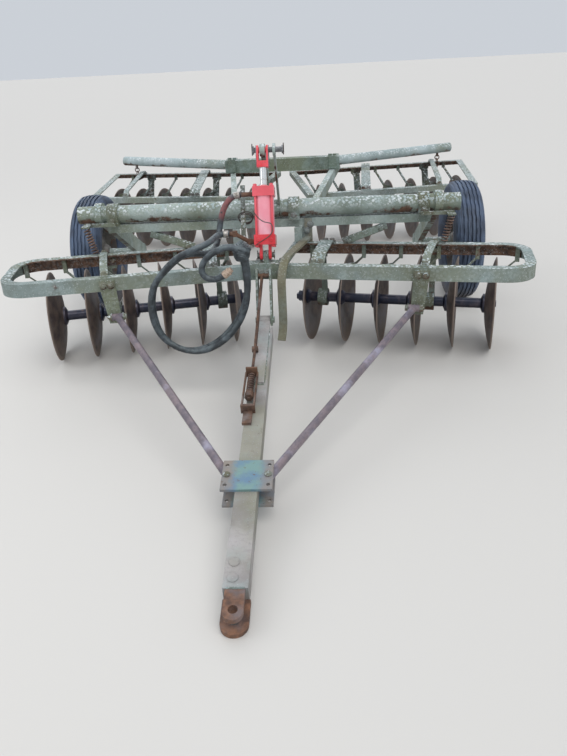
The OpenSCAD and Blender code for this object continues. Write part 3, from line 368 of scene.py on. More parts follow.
class Nodes:
    """A material's node tree with short calls for the nodes used here."""

    def __init__(self, name):
        self.material = bpy.data.materials.new(name)
        self.material.use_nodes = True
        self.tree = self.material.node_tree
        self.shader = self.tree.nodes["Principled BSDF"]
        coords = self.tree.nodes.new("ShaderNodeTexCoord")
        self.place = coords.outputs["Object"]
        self.normal = coords.outputs["Normal"]

    def link(self, value, socket):
        """Joins a node's output to a socket, or sets the socket to a constant."""
        if isinstance(value, bpy.types.NodeSocket):
            self.tree.links.new(value, socket)
        elif isinstance(value, tuple) and len(value) == 3 and len(socket.default_value) == 4:
            socket.default_value = (*value, 1)
        else:
            socket.default_value = value

    def noise(self, scale, detail=4, rough=0.6, place=None, distortion=0):
        node = self.tree.nodes.new("ShaderNodeTexNoise")
        self.link(place or self.place, node.inputs["Vector"])
        node.inputs["Scale"].default_value = scale
        node.inputs["Detail"].default_value = detail
        node.inputs["Roughness"].default_value = rough
        node.inputs["Distortion"].default_value = distortion
        return node.outputs[0]

    def spots(self, scale, feature="F1"):
        node = self.tree.nodes.new("ShaderNodeTexVoronoi")
        node.feature = feature
        self.link(self.place, node.inputs["Vector"])
        node.inputs["Scale"].default_value = scale
        return node.outputs["Distance"]

    def math(self, kind, a, b=0.0, clamp=False):
        node = self.tree.nodes.new("ShaderNodeMath")
        node.operation = kind
        node.use_clamp = clamp
        self.link(a, node.inputs[0])
        self.link(b, node.inputs[1])
        return node.outputs[0]

    def plus(self, a, b):
        return self.math("ADD", a, b)

    def minus(self, a, b):
        return self.math("SUBTRACT", a, b)

    def times(self, a, b):
        return self.math("MULTIPLY", a, b)

    def vector(self, kind, a, b=(0, 0, 0)):
        node = self.tree.nodes.new("ShaderNodeVectorMath")
        node.operation = kind
        self.link(a, node.inputs[0])
        self.link(b, node.inputs[1])
        return node.outputs["Value" if kind in ("LENGTH", "DOT_PRODUCT") else "Vector"]

    def step(self, value, low, high):
        """0 below low, 1 above high; low may be the larger one."""
        node = self.tree.nodes.new("ShaderNodeMapRange")
        node.interpolation_type = "SMOOTHSTEP"
        self.link(value, node.inputs["Value"])
        node.inputs["From Min"].default_value = low
        node.inputs["From Max"].default_value = high
        return node.outputs["Result"]

    def patches(self, scale, low, high, detail=4, rough=0.6):
        """1 where a noise is above high and 0 where it is below low."""
        return self.step(self.noise(scale, detail, rough), low, high)

    def mix(self, share, a, b, strength=1):
        """From a to b by a share, which is first weakened to a strength."""
        node = self.tree.nodes.new("ShaderNodeMix")
        node.data_type = "RGBA"
        self.link(share if strength == 1 else self.times(share, strength), node.inputs[0])
        self.link(a, node.inputs[6])
        self.link(b, node.inputs[7])
        return node.outputs[2]

    def part(self, source, index):
        node = self.tree.nodes.new("ShaderNodeSeparateXYZ")
        self.link(source, node.inputs[0])
        return node.outputs[index]

    def height_z(self):
        return self.part(self.place, 2)

    def facing_up(self):
        return self.part(self.normal, 2)

    def radius(self, centre, axis):
        """The distance from a line through a point along an axis."""
        offset = self.vector("SUBTRACT", self.place, tuple(centre))
        return self.vector("LENGTH", self.vector("CROSS_PRODUCT", offset, tuple(axis)))

    def near(self, centre, inner, outer):
        """1 within inner of a point, 0 beyond outer, in metres."""
        far = self.vector("LENGTH", self.vector("SUBTRACT", self.place, tuple(centre)))
        return self.step(far, outer, inner)

    def bump(self, height, distance, strength, below=None):
        node = self.tree.nodes.new("ShaderNodeBump")
        node.inputs["Strength"].default_value = strength
        node.inputs["Distance"].default_value = distance
        self.link(height, node.inputs["Height"])
        if below is not None:
            self.link(below, node.inputs["Normal"])
        return node.outputs[0]

    def finish(self, color, rough, normal=None, metallic=0.0, coat=0.0):
        self.link(color, self.shader.inputs["Base Color"])
        self.link(rough, self.shader.inputs["Roughness"])
        self.link(metallic, self.shader.inputs["Metallic"])
        self.shader.inputs["Coat Weight"].default_value = coat
        if normal is not None:
            self.link(normal, self.shader.inputs["Normal"])
        return self.material


# Distances in the material functions are in metres, as in the shaders

RUST_DARK = (0.050, 0.027, 0.019)
RUST_MID = (0.155, 0.082, 0.050)
LICHEN_PALE = (0.70, 0.75, 0.77)
LICHEN_BLUE = (0.34, 0.43, 0.44)
ALGAE = (0.175, 0.180, 0.095)


def inner_faces(n, angle, start_y, middle):
    """1 on the faces inside an angle iron frame, which have lost their paint."""
    x = n.math("ABSOLUTE", n.part(n.place, 0))
    y = n.minus(n.part(n.place, 1), (start_y - MIDDLE_Y) / 1000)
    behind = n.plus(n.times(x, -math.sin(angle)), n.times(y, math.cos(angle)))
    back_half = n.step(behind, middle - 0.002, middle + 0.002)
    fore = n.step(n.part(n.normal, 1), -0.4, -0.6)
    aft = n.step(n.part(n.normal, 1), 0.4, 0.6)
    front = n.times(n.minus(1.0, back_half), aft)
    return n.math("ADD", n.times(back_half, fore), front, clamp=True)


def weathered(name, light, dark, rust, lichen, inside=None):
    """Old paint with rust below and crusts of lichen on what faces up."""
    n = Nodes(name)
    paint = n.mix(n.patches(3.2, 0.36, 0.62, 5), dark, light)
    paint = n.mix(n.patches(11, 0.45, 0.7), paint, LICHEN_BLUE, 0.4)
    paint = n.mix(n.patches(2.1, 0.44, 0.62), paint, ALGAE, 0.5)
    paint = n.mix(n.patches(75, 0.5, 0.62, 6, 0.7), paint, dark, 0.35)

    up = n.facing_up()
    rusty = n.plus(n.noise(9, 8, 0.7), n.times(n.step(up, 0.2, -0.7), 0.18))
    rust_share = n.step(rusty, 0.78 - 0.4 * rust, 0.9 - 0.4 * rust)
    if inside is not None:
        bare = n.times(inner_faces(n, *inside), n.patches(14, 0.18, 0.34, 5))
        rust_share = n.math("MAXIMUM", rust_share, bare)
    color = n.mix(rust_share, paint, n.mix(n.patches(38, 0.35, 0.65, 5), RUST_DARK, RUST_MID))

    patch = n.patches(4.5, 0.66 - 0.4 * lichen, 0.82 - 0.4 * lichen, 5, 0.65)
    cover = n.times(n.step(up, -0.2, 0.75), patch)
    cells = n.plus(n.minus(1.0, n.spots(70)), n.times(n.noise(60, 6, 0.65), 0.9))
    crust = n.times(n.step(cells, 0.94, 1.05), cover)
    grains = n.plus(n.spots(120), n.times(n.noise(90, 5, 0.7), 0.9))
    fleck_cover = n.times(n.step(up, -0.5, 0.55), n.patches(6, 0.36, 0.52))
    flecks = n.times(n.step(grains, 0.68, 0.58), fleck_cover)
    pale = n.mix(n.patches(24, 0.4, 0.6), LICHEN_BLUE, LICHEN_PALE)
    color = n.mix(crust, color, pale, 0.85)
    color = n.mix(flecks, color, LICHEN_PALE, 0.8 * min(1.0, lichen + 0.3))

    pits = n.bump(n.noise(170), 0.0012, 0.5)
    return n.finish(color, 0.72, n.bump(n.plus(crust, n.times(flecks, 0.6)), 0.003, 0.8, pits))


def rusted(name, light, dark, tint, rough):
    """Bare old steel with brown rust."""
    n = Nodes(name)
    color = n.mix(n.patches(26, 0.36, 0.66, 7, 0.65), dark, light)
    color = n.mix(n.patches(7, 0.5, 0.72), color, tint)
    return n.finish(color, rough, n.bump(n.noise(150, 5, 0.65), 0.0015, 0.6))


def disc_steel(name, centre, axis):
    """A blade's brown face and worn rim, with soil on its lowest part."""
    brown_dark = (0.056, 0.046, 0.046)
    brown_light = (0.145, 0.108, 0.092)
    grey = (0.18, 0.17, 0.18)
    streak_brown = (0.19, 0.12, 0.08)
    worn = (0.21, 0.165, 0.14)
    soil = (0.165, 0.115, 0.08)
    n = Nodes(name)
    r = n.math("DIVIDE", n.radius(centre, axis), DISC_R / 1000)
    blotch = n.noise(14, 7, 0.65)
    face = n.mix(n.step(blotch, 0.34, 0.66), brown_dark, brown_light)
    face = n.mix(n.patches(5, 0.48, 0.7, 3, 0.5), face, grey)
    streak = n.noise(70, 3, 0.5, place=n.vector("MULTIPLY", n.place, (0.15, 1, 1)))
    face = n.mix(n.step(streak, 0.5, 0.75), face, streak_brown, 0.3)
    rim = n.step(n.plus(r, n.times(blotch, 0.06)), 0.94, 1.02)
    color = n.mix(rim, face, worn)
    color = n.mix(n.step(n.height_z(), 0.11, 0.0), color, soil, 0.7)
    return n.finish(color, 0.55, n.bump(n.noise(120, 6, 0.65), 0.001, 0.5), metallic=0.3)


def spool_iron(name):
    """Dark iron with a blue sheen and spots of rust."""
    n = Nodes(name)
    color = n.mix(n.patches(16, 0.42, 0.7, 6), (0.020, 0.026, 0.050), (0.085, 0.072, 0.090))
    color = n.mix(n.patches(48, 0.64, 0.76, 5), color, RUST_MID)
    return n.finish(color, 0.32, n.bump(n.noise(90), 0.001, 0.4), metallic=0.4)


def red_enamel(name):
    """Red paint, pale pink on the barrel where a highlight is painted, and fresh on its caps and rods."""
    fresh_dark = (0.60, 0.012, 0.022)
    fresh_light = (0.78, 0.05, 0.07)
    highlight_pink_dark = (0.84, 0.34, 0.42)
    highlight_pink_light = (0.92, 0.56, 0.64)
    upper_red = (0.86, 0.22, 0.28)
    bare = (0.09, 0.06, 0.05)
    dust = (0.60, 0.42, 0.40)
    n = Nodes(name)
    base = cylinder_point(0, 0, 0)
    axis = cylinder_way()
    along = n.vector("DOT_PRODUCT", n.vector("SUBTRACT", n.place, tuple(base)), tuple(axis))
    barrel = n.times(n.step(along, 0.090, 0.094), n.step(along, 0.272, 0.268))
    barrel = n.times(barrel, n.step(n.radius(base, axis), 0.0480, 0.0472))
    fresh = n.mix(n.patches(11, 0.35, 0.7, 4, 0.55), fresh_dark, fresh_light)
    # Painted highlight: pale pink on the barrel, mixed over the fresh red
    lighter_tone = n.mix(n.patches(9, 0.35, 0.7, 4, 0.55), highlight_pink_dark, highlight_pink_light)
    color = n.mix(barrel, fresh, lighter_tone, 0.95)
    color = n.mix(n.step(n.height_z(), 0.70, 0.80), color, upper_red, 0.35)
    color = n.mix(n.patches(75, 0.70, 0.74), color, bare)
    color = n.mix(n.step(n.facing_up(), 0.2, 0.95), color, dust, 0.3)
    return n.finish(color, 0.3, n.bump(n.noise(140, 3, 0.5), 0.0004, 0.5), coat=0.4)


def plate_enamel(name):
    """Teal paint left on the middle of a plate that is dull and brown towards its ends."""
    blue = (0.11, 0.21, 0.32)
    green = (0.16, 0.29, 0.28)
    grey = (0.19, 0.20, 0.215)
    brown = (0.24, 0.21, 0.185)
    chip = (0.13, 0.105, 0.085)
    n = Nodes(name)
    across = n.math("ABSOLUTE", n.part(n.place, 0))
    middle = n.step(n.plus(across, n.times(n.noise(25, 5, 0.7), 0.06)), 0.098, 0.060)
    teal = n.mix(n.patches(16, 0.38, 0.62, 5), blue, green)
    dull = n.mix(n.patches(12, 0.38, 0.62, 5), grey, brown)
    color = n.mix(middle, dull, teal, 0.9)
    color = n.mix(n.patches(60, 0.58, 0.68, 6, 0.7), color, chip)
    return n.finish(color, 0.66, n.bump(n.noise(150, 5), 0.0012, 0.5))


def yoke_enamel(name):
    """Red ears on a pin and washers of bare dark steel."""
    n = Nodes(name)
    across = n.math("ABSOLUTE", n.minus(n.part(n.place, 0), BASE_PIN[0] / 1000))
    outside = n.step(across, 0.0268, 0.0272)
    red = n.mix(n.patches(11, 0.35, 0.7, 4, 0.55), (0.62, 0.02, 0.03), (0.80, 0.10, 0.13))
    red = n.mix(n.patches(60, 0.62, 0.70, 5), red, (0.16, 0.10, 0.09))
    steel = n.mix(n.patches(30, 0.4, 0.65, 5), (0.075, 0.078, 0.085), (0.24, 0.25, 0.27))
    color = n.mix(outside, red, steel)
    return n.finish(color, 0.42, n.bump(n.noise(140, 3, 0.5), 0.0004, 0.5), coat=0.2)


def polished_rod(name):
    n = Nodes(name)
    streak = n.noise(60, 3, 0.5, distortion=1.5)
    color = n.mix(n.step(streak, 0.55, 0.72), (0.80, 0.82, 0.82), (0.52, 0.50, 0.46))
    return n.finish(color, n.plus(0.16, n.times(streak, 0.2)), metallic=0.9)


def old_rubber(name, centre, axis):
    """A tyre's faded black, with a painted bluish sky reflection in streaks on its crown, and dusty low
    down.
    """
    black = (0.022, 0.032, 0.056)
    lighter_tone = (0.055, 0.082, 0.140)
    sky_reflection_blue = (0.12, 0.18, 0.28)
    dust = (0.15, 0.115, 0.085)
    n = Nodes(name)
    crown = n.step(n.radius(centre, axis), 0.30, 0.345)
    base = n.mix(n.patches(9, 0.35, 0.65, 5), black, lighter_tone)
    # Painted reflection: bluish streaks of sky on the crown, mixed into the colour
    reflection_streaks = n.noise(26, place=n.vector("MULTIPLY", n.place, (9, 0.4, 0.4)))
    base = n.mix(n.times(crown, n.step(reflection_streaks, 0.42, 0.66)), base, sky_reflection_blue, 0.55)
    color = n.mix(n.step(n.height_z(), 0.16, 0.0), base, dust, 0.6)
    cracks = n.step(n.spots(140, feature="DISTANCE_TO_EDGE"), 0.0, 0.05)
    return n.finish(color, 0.6, n.bump(cracks, 0.0006, 0.35))


def old_rim(name):
    n = Nodes(name)
    color = n.mix(n.patches(10, 0.4, 0.6, 6, 0.65), (0.20, 0.195, 0.18), (0.11, 0.10, 0.095))
    color = n.mix(n.patches(24, 0.54, 0.62, 7, 0.7), color, RUST_MID)
    return n.finish(color, 0.6, n.bump(n.noise(120), 0.001, 0.5), metallic=0.2)


def hose_rubber(name, worn_at=None):
    """Black rubber, green with algae on top, and red where its cover has worn through."""
    n = Nodes(name)
    color = n.mix(n.patches(20, 0.42, 0.66, 5), (0.022, 0.028, 0.034), (0.075, 0.095, 0.110))
    algae = n.times(n.step(n.facing_up(), -0.3, 0.8), n.patches(34, 0.40, 0.60))
    color = n.mix(algae, color, (0.16, 0.20, 0.21), 0.5)
    if worn_at is not None:
        share = n.times(n.near(worn_at, 0.035, 0.075), n.patches(40, 0.3, 0.55))
        color = n.mix(share, color, (0.23, 0.085, 0.085))
    return n.finish(color, 0.5, n.bump(n.noise(220, 3, 0.5), 0.0005, 0.5))


def plain_metal(name, color, spotted, rough, metallic):
    n = Nodes(name)
    mixed = n.mix(n.patches(70, 0.5, 0.7, 5), color, spotted)
    return n.finish(mixed, rough, n.bump(n.noise(160, 3, 0.5), 0.0005, 0.4), metallic=metallic)


# Old paints: light colour, dark colour, rust and lichen

PAINTS = {
    "frame_paint": ((0.345, 0.410, 0.385), (0.170, 0.210, 0.180), 0.36, 0.85),
    "front_iron": ((0.225, 0.280, 0.275), (0.145, 0.175, 0.160), 0.36, 0.8),
    "rear_iron": ((0.265, 0.305, 0.290), (0.120, 0.145, 0.130), 0.42, 0.9),
    "arm_paint": ((0.42, 0.50, 0.52), (0.24, 0.30, 0.30), 0.3, 0.85),
    "beam_paint": ((0.150, 0.200, 0.160), (0.090, 0.120, 0.095), 0.38, 0.55),
    "bracket_paint": ((0.165, 0.205, 0.170), (0.075, 0.085, 0.072), 0.5, 0.75),
    "shank_paint": ((0.205, 0.190, 0.135), (0.100, 0.092, 0.066), 0.42, 0.3),
    "bolt_rust": ((0.19, 0.20, 0.19), (0.085, 0.080, 0.072), 0.62, 0.6),
    "tongue_paint": ((0.385, 0.365, 0.365), (0.235, 0.220, 0.215), 0.36, -0.1),
}

# Frames that are bare inside: their line, and where their middle lies behind it, in metres

BARE_INSIDE = {
    "front_iron": (*LINES["front_frame"], -0.18),
    "rear_iron": (*LINES["rear"], -0.40),
}

# Bare steels: light rust, dark rust, a tint in patches and the roughness

STEELS = {
    "bare_rust": (RUST_MID, RUST_DARK, (0.20, 0.17, 0.16), 0.78),
    "hitch_rust": ((0.24, 0.12, 0.07), (0.085, 0.048, 0.036), (0.16, 0.13, 0.13), 0.78),
    "brace_steel": ((0.21, 0.165, 0.18), (0.115, 0.100, 0.125), (0.32, 0.31, 0.40), 0.45),
    "wire_rust": ((0.10, 0.075, 0.065), (0.035, 0.028, 0.026), (0.12, 0.12, 0.12), 0.6),
    "spring_rust": ((0.21, 0.125, 0.09), (0.065, 0.043, 0.037), (0.16, 0.15, 0.15), 0.7),
}

# Fittings: colour, colour in spots, roughness and how metallic

FITTINGS = {
    "coupler_steel": ((0.60, 0.58, 0.55), (0.22, 0.18, 0.14), 0.35, 0.8),
    "coupler_tan": ((0.50, 0.39, 0.31), (0.23, 0.15, 0.10), 0.5, 0.45),
}

OTHERS = {"plate_paint": plate_enamel, "spool_iron": spool_iron, "cylinder_paint": red_enamel,
          "yoke_paint": yoke_enamel, "rod_chrome": polished_rod, "rim_paint": old_rim,
          "hose_rubber": hose_rubber, "wrap_cloth": hose_rubber}

WORN_AT = at(-176, -298, 824)

# Nodes that take a material of their own in place of their slot's

OWN_MATERIAL = {
    "hitch_clevis": "hitch_rust", "braces": "brace_steel", "tongue": "tongue_paint",
    "front_frame_left": "front_iron", "front_frame_right": "front_iron",
    "rear_frame_left": "rear_iron", "rear_frame_right": "rear_iron",
    "rear_arms": "arm_paint", "rear_beam": "beam_paint", "centre_shank": "shank_paint",
    "gang_springs": "spring_rust", "levelling_spring": "spring_rust", "cylinder_yoke": "yoke_paint",
}


def make_materials():
    """The materials by name; each gang's discs and each tyre have their own, set round an axis."""
    made = {name: weathered(name, *row, BARE_INSIDE.get(name)) for name, row in PAINTS.items()}
    made.update({name: rusted(name, *row) for name, row in STEELS.items()})
    made.update({name: plain_metal(name, *row) for name, row in FITTINGS.items()})
    made.update({name: make(name) for name, make in OTHERS.items()})
    made["hose_worn"] = hose_rubber("hose_worn", WORN_AT)
    for end, line in (("front", "front_axle"), ("rear", "rear")):
        for side, sign in SIDES:
            name = f"discs_{end}_{side}"
            start = line_point(line, sign, 0, 0, DISC_R)
            made[name] = disc_steel(name, start, line_way(line, sign, 1, 0))
    for side, sign in SIDES:
        name = f"tyre_{side}"
        made[name] = old_rubber(name, at(sign * WHEEL_X, WHEEL_Y, TYRE_R), ACROSS)
    return made


def dress_nodes(made):
    slots = {row["node"]: row["material_slot"] for row in frame["record"]["subparts"]}
    for name, piece in frame["nodes"].items():
        key = name if name in made else OWN_MATERIAL.get(name, slots[name])
        for slot in piece.material_slots:
            slot.material = made[key]


# Bolts, nuts and rivets

# Where the bearing hangers stand along the gangs' lines

FRONT_HUBS = (288.25, 859.75)
REAR_HUBS = (601.75, 1173.25)

# The frames' cross ties: place along the line, turn in degrees and bolts at each end

FRONT_TIES = ((318, 0, 2), (860, -6, 1))
REAR_TIES = ((675, -12.5, 2), (1217, -14, 1))

TIE_INSET = 6
SPLICE_BOLTS = (86, 152)
BRACKET_BOLTS = (788, 822)
BRACE_AT = 776
BRACE_HALF = 26


def frame_along(along):
    """Where on the front frame's line a point of the front axle lies."""
    x = along * math.cos(AXLE_ANGLE)
    y = FRONT_AXLE_Y - along * math.sin(AXLE_ANGLE)
    return x * math.cos(FRAME_ANGLE) - (y - FRONT_FRAME_Y) * math.sin(FRAME_ANGLE)


def tie_bolts(shape, line, sign, ties, fore, aft, top):
    """Bolts down through both ends of each tie; fore and aft say where it ends."""
    for start, turn_deg, count in ties:
        turn = math.radians(turn_deg)
        run = (fore + aft) / math.cos(turn)
        for y in (-26, 26 - run):
            for x in ((-17, 17) if count == 2 else (0,)):
                along = start + x * math.cos(turn) - y * math.sin(turn)
                behind = aft + x * math.sin(turn) + y * math.cos(turn)
                shape.bolt(line_point(line, sign, along, behind, top + 9), UP, 24, 12, spin=along)


def hub_bolts(shape, line, sign, along, aft, top, leg):
    """A head and a nut on each of the two bolts of a bearing hanger."""
    z = top - leg * 0.55
    for x in (-20, 20):
        head_at = line_point(line, sign, along + x, aft - 7, z)
        nut_at = line_point(line, sign, along + x, aft + 14.3, z)
        shape.bolt(head_at, line_way(line, sign, 0, -1), 22, 11, spin=x)
        shape.bolt(nut_at, line_way(line, sign, 0, 1), 22, 14, stud=7, spin=along)


def front_iron_bolts(shape, sign):
    """Bolts of the splice, the brace's bracket and the brace's upper end on the front iron."""
    line = "front_frame"
    face = -FRONT_FORE - 12
    forward = line_way(line, sign, 0, -1)
    for x in SPLICE_BOLTS:
        shape.bolt(line_point(line, sign, x, face, 528), forward, 26, 13, stud=5, spin=x)
        shape.bolt(line_point(line, sign, x, -378, FRONT_TOP + 12), UP, 24, 12, spin=x)
    for x in BRACKET_BOLTS:
        shape.bolt(line_point(line, sign, x, face, 529), forward, 24, 12, stud=4, spin=x)
    for out, stud in ((1, 6), (-1, 0)):
        end = line_point(line, sign, BRACE_AT + out * BRACE_HALF, -FRONT_FORE - 28.3, 376)
        shape.bolt(end, line_way(line, sign, out, 0), 26, 12, stud=stud)


def add_frame_bolts(made):
    shape = Shape()
    clamp_head = [(13, 0), (13.5, 3), (11, 6.5), (6, 8.6), (1, 9.2)]
    for sign in SIGNS:
        tie_bolts(shape, "front_frame", sign, FRONT_TIES, FRONT_FORE - TIE_INSET, FRONT_AFT - TIE_INSET,
                  FRONT_TOP)
        tie_bolts(shape, "rear", sign, REAR_TIES, REAR_FORE - TIE_INSET, REAR_AFT - TIE_INSET, REAR_TOP)
        for along in FRONT_HUBS:
            hub_bolts(shape, "front_frame", sign, frame_along(along), FRONT_AFT, FRONT_TOP, 64)
        for along in REAR_HUBS:
            hub_bolts(shape, "rear", sign, along, REAR_AFT, REAR_TOP, 36)
        front_iron_bolts(shape, sign)
        shape.turned(tongue_point(sign * 72, CLAMP_AT, 42), TONGUE_UP, clamp_head, 22)
        shape.bolt(tongue_point(sign * 72, CLAMP_AT, -42), -TONGUE_UP, 22, 13, stud=6)
        shape.bolt(at(sign * BEARING_X, -51.5, 719), AHEAD, 20, 10)
        shape.bolt(at(sign * BEARING_X, 54.5, 719), BACK, 20, 10, stud=5)
    shape.bolt(at(MIDDLE_BEARING_X, -51.5, 719), AHEAD, 20, 10)
    for x, z in ((222, 664), (203, 632)):
        shape.bolt(at(x, -32.3, z), AHEAD, 22, 11, stud=5)
    shape.piece("frame_bolts", made["bolt_rust"], "chassis")


def add_tongue_rivets(made):
    """Two flat heads on the tongue behind its hitch and a washer under it."""
    shape = Shape()
    head = [(17.5, 0), (17.5, 2.5), (15.5, 4.2), (10, 5.2), (1, 5.4)]
    for along in (111, 170):
        shape.turned(tongue_point(-11, along, TONGUE_TOP), TONGUE_UP, head, 28)
    shape.turned(tongue_point(0, 0, -35.5), -TONGUE_UP, [(21, 0), (21, 1.2), (15.2, 1.3)], 28)
    shape.piece("tongue_rivets", made["tongue_paint"], "chassis")


def add_scraper_bolts(made):
    """Two bolts on each scraper, whose arm leans forward beside its disc."""
    shape = Shape()
    lean = math.radians(8)
    from_disc = 80
    for sign in SIGNS:
        for line, first, count, out in (("front_axle", FRONT_FIRST, 6, 1), ("rear", REAR_FIRST, 7, -1)):
            for i in range(count):
                along = first + i * DISC_PITCH + out * from_disc
                for r in (150, 186):
                    behind = -r * math.sin(lean) - 2.6
                    place = line_point(line, sign, along, behind, DISC_R + r * math.cos(lean))
                    shape.bolt(place, line_way(line, sign, 0, -1), 17, 8, spin=r)
    shape.piece("scraper_bolts", made["bolt_rust"], "chassis")


# Weld beads


def add_frame_welds(made):
    shape = Shape()
    foot_z = 695.5
    outer_foot = (BEARING_X - BEARING_HALF, BEARING_X + BEARING_HALF)
    for sign in SIGNS:
        for y in (-BAR_HALF, BAR_HALF):
            x = RAIL_X + y * math.tan(RAIL_SPLAY)
            shape.bead([at(sign * (x - RAIL_HALF), y, RAIL_TOP), at(sign * (x + RAIL_HALF), y, RAIL_TOP)])
        for x in outer_foot:
            shape.bead([at(sign * x, -BAR_HALF, foot_z), at(sign * x, BAR_HALF, foot_z)], 3.5)
        shape.bead([at(sign * x, -BAR_HALF, foot_z - 0.5) for x in outer_foot], 3.5)
        # A grain of weld at the rear beam's lower face
        shape.bead([at(sign * 168, 1740, z) for z in (RAIL_TOP, RAIL_TOP + 0.5)], 1)
    for x in (MIDDLE_BEARING_X - BEARING_HALF, MIDDLE_BEARING_X + BEARING_HALF):
        shape.bead([at(x, -BAR_HALF, foot_z), at(x, BAR_HALF, foot_z)], 3.5)
    for x in (-25, 25):
        shape.bead([tongue_point(x, along, TONGUE_TOP) for along in (1112, 1556)], 3.2)
    shape.bead([tongue_point(x, 1100, TONGUE_TOP + 1) for x in (-25, 25)], 3.6)
    shape.bead([tongue_point(x, 73, TONGUE_TOP) for x in (-29, 29)], 4)
    shape.piece("frame_welds", made["bracket_paint"], "chassis")


def add_lift_welds(made):
    """Rings round the rockshaft at its two levers and its wheel arms, and round the stub axles."""
    shape = Shape()
    for x, radius in ((1, 4), (23, 4), (60, 3.6), (72, 3.6)):
        shape.ring_bead(at(x, 0, ROCK_Z), 45, radius)
    for sign in SIGNS:
        for x in (849.5, 886.5):
            shape.ring_bead(at(sign * x, 0, ROCK_Z), 45.5, 4.5)
        shape.ring_bead(at(sign * 886, WHEEL_Y, TYRE_R), 23, 4)
    shape.piece("lift_welds", made["frame_paint"], "lift_shaft")


# Wheels


def add_hub_cap(made, side, sign):
    """A grease cap outside a wheel's hub and a collar inside it."""
    shape = Shape()
    cap = [(33, 0), (33, 5), (30.5, 6), (30, 17), (27, 22), (18, 25), (1, 26)]
    shape.turned(at(sign * (WHEEL_X + 43), WHEEL_Y, TYRE_R), sign * ACROSS, cap, 36)
    shape.turned(at(sign * (WHEEL_X - 58), WHEEL_Y, TYRE_R), -sign * ACROSS, [(36, 0), (36, 4), (31, 6)], 32)
    shape.piece(f"hub_cap_{side}", made["rim_paint"], f"wheel_{side}")


def add_air_valve(made, side, sign):
    shape = Shape()
    stem = [(5.5, -6), (5.5, 12), (4, 16), (4, 30), (4.6, 31), (4.6, 38)]
    shape.turned(at(sign * (WHEEL_X + 20), WHEEL_Y, TYRE_R + 158), (sign * 0.8, 0, -0.45), stem, 14)
    shape.piece(f"air_valve_{side}", made["hose_rubber"], f"wheel_{side}")


# The tyre's side from its bead to its shoulder: across from its middle, and radius

TYRE_SIDE = [
    (54, 191), (62, 191), (66, 196), (72, 203), (78, 214), (83, 230), (86.5, 252), (88, 272), (87.6, 286),
    (86, 300), (84.5, 303), (85.5, 306), (83, 320), (78, 331), (73, 338), (69.5, 339), (66, 344)]
TREAD_GROOVES = (0, 23, 46)
GROOVE_HALF = 4
GROOVE_DEPTH = 9
CROWN_HALF = 62
TYRE_SEGMENTS = 180
ZIGZAG = 1.1
NICK_DEPTH = 2.2


def tyre_profile():
    """The tyre's outline from side to side, in mm: across from its middle, and radius."""
    crown = []
    for x in range(CROWN_HALF, -1, -1):
        r = 356.6 - 9.2 * (x / 64) ** 2
        if min(abs(x - groove) for groove in TREAD_GROOVES) <= GROOVE_HALF:
            r -= GROOVE_DEPTH
        crown.append((x, r))
    keep = [crown[0]]
    for before, here, after in zip(crown, crown[1:], crown[2:]):
        at_wall = abs(before[1] - here[1]) > 3 or abs(after[1] - here[1]) > 3
        if at_wall or here[0] % 6 == 0:
            keep.append(here)
    keep.append(crown[-1])
    outer = TYRE_SIDE + keep
    return [(-x, r) for x, r in outer] + [(x, r) for x, r in reversed(outer[:-1])]


def add_tyre(made, side, sign):
    """A ribbed tyre whose ribs zigzag a little and are nicked at their edges."""
    profile = tyre_profile()
    shape = Shape()
    rings = []
    for k, turn in enumerate(full_turn(TYRE_SEGMENTS)):
        shift = ZIGZAG if k % 6 < 3 else -ZIGZAG
        ring = []
        for x, r in profile:
            crown = max(0.0, min(1.0, (r - 336) / 8)) if abs(x) < 60 else 0.0
            nicked = k % 12 == 0 and r > 334 and 62 <= abs(x) < 80
            reach = r - NICK_DEPTH if nicked else r
            ring.append(at(sign * WHEEL_X + x + shift * crown, WHEEL_Y + reach * math.cos(turn),
                           TYRE_R + reach * math.sin(turn)))
        rings.append(shape.ring(ring))
    shape.skin(rings + [rings[0]])
    tyre = shape.piece(f"ribbed_tyre_{side}", made[f"tyre_{side}"], f"wheel_{side}", 50)
    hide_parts(f"tyre_{side}")


# Coil springs


def helix(start, end, radius, turns):
    """A coil's points between two places."""
    steps = 24
    ahead, first, second = square_to(end - start)
    run = (end - start).length
    count = turns * steps
    path = []
    for i in range(count + 1):
        out = round_way(first, second, 2 * math.pi * i / steps)
        path.append(start + ahead * (run * i / count) + out * radius / 1000)
    return path


def spring_piece(shape, name, made, node):
    """A piece that stands for a spring's node of the frame."""
    spring = shape.piece(name, made["spring_rust"], "chassis", 60)
    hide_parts(node)


def add_springs(made):
    """A coil between each front frame and the cross bar's end, and one on the levelling rod."""
    shape = Shape()
    from_seat = 7.55
    seat = SEAT_Z + 6
    for sign in SIGNS:
        low = at(sign * 890, -106, FRONT_TOP + from_seat)
        top = at(sign * 922, -100, seat - from_seat)
        shape.tube(helix(low, top, 15, 9), 3.25)
    spring_piece(shape, "coil_springs", made, "gang_springs")
    shape = Shape()
    shape.tube(helix(tongue_point(-26, 1010, 60), tongue_point(-26, 1135, 60), 12, 8), 3)
    spring_piece(shape, "rod_spring", made, "levelling_spring")


# Pieces at the lift cylinder


def add_cylinder_fittings(made):
    """The rod's gland, two ports on the barrel's side and two bolts at its foot."""
    shape = Shape()
    shape.turned(cylinder_point(0, 312, 0), cylinder_way(), [(24, 0), (24, 4), (20, 7), (17.5, 9)], 32)
    for up in (75, 300):
        shape.turned(cylinder_point(-50, up, 22), -ACROSS, [(11, 0), (11, 2)], 6)
    forward = cylinder_point(0, 0, 1) - cylinder_point(0, 0, 0)
    for x in (-30, 30):
        shape.bolt(cylinder_point(x, 68, 50), forward, 15, 6, washer=False)
    shape.piece("cylinder_fittings", made["cylinder_paint"], "lift_barrel")


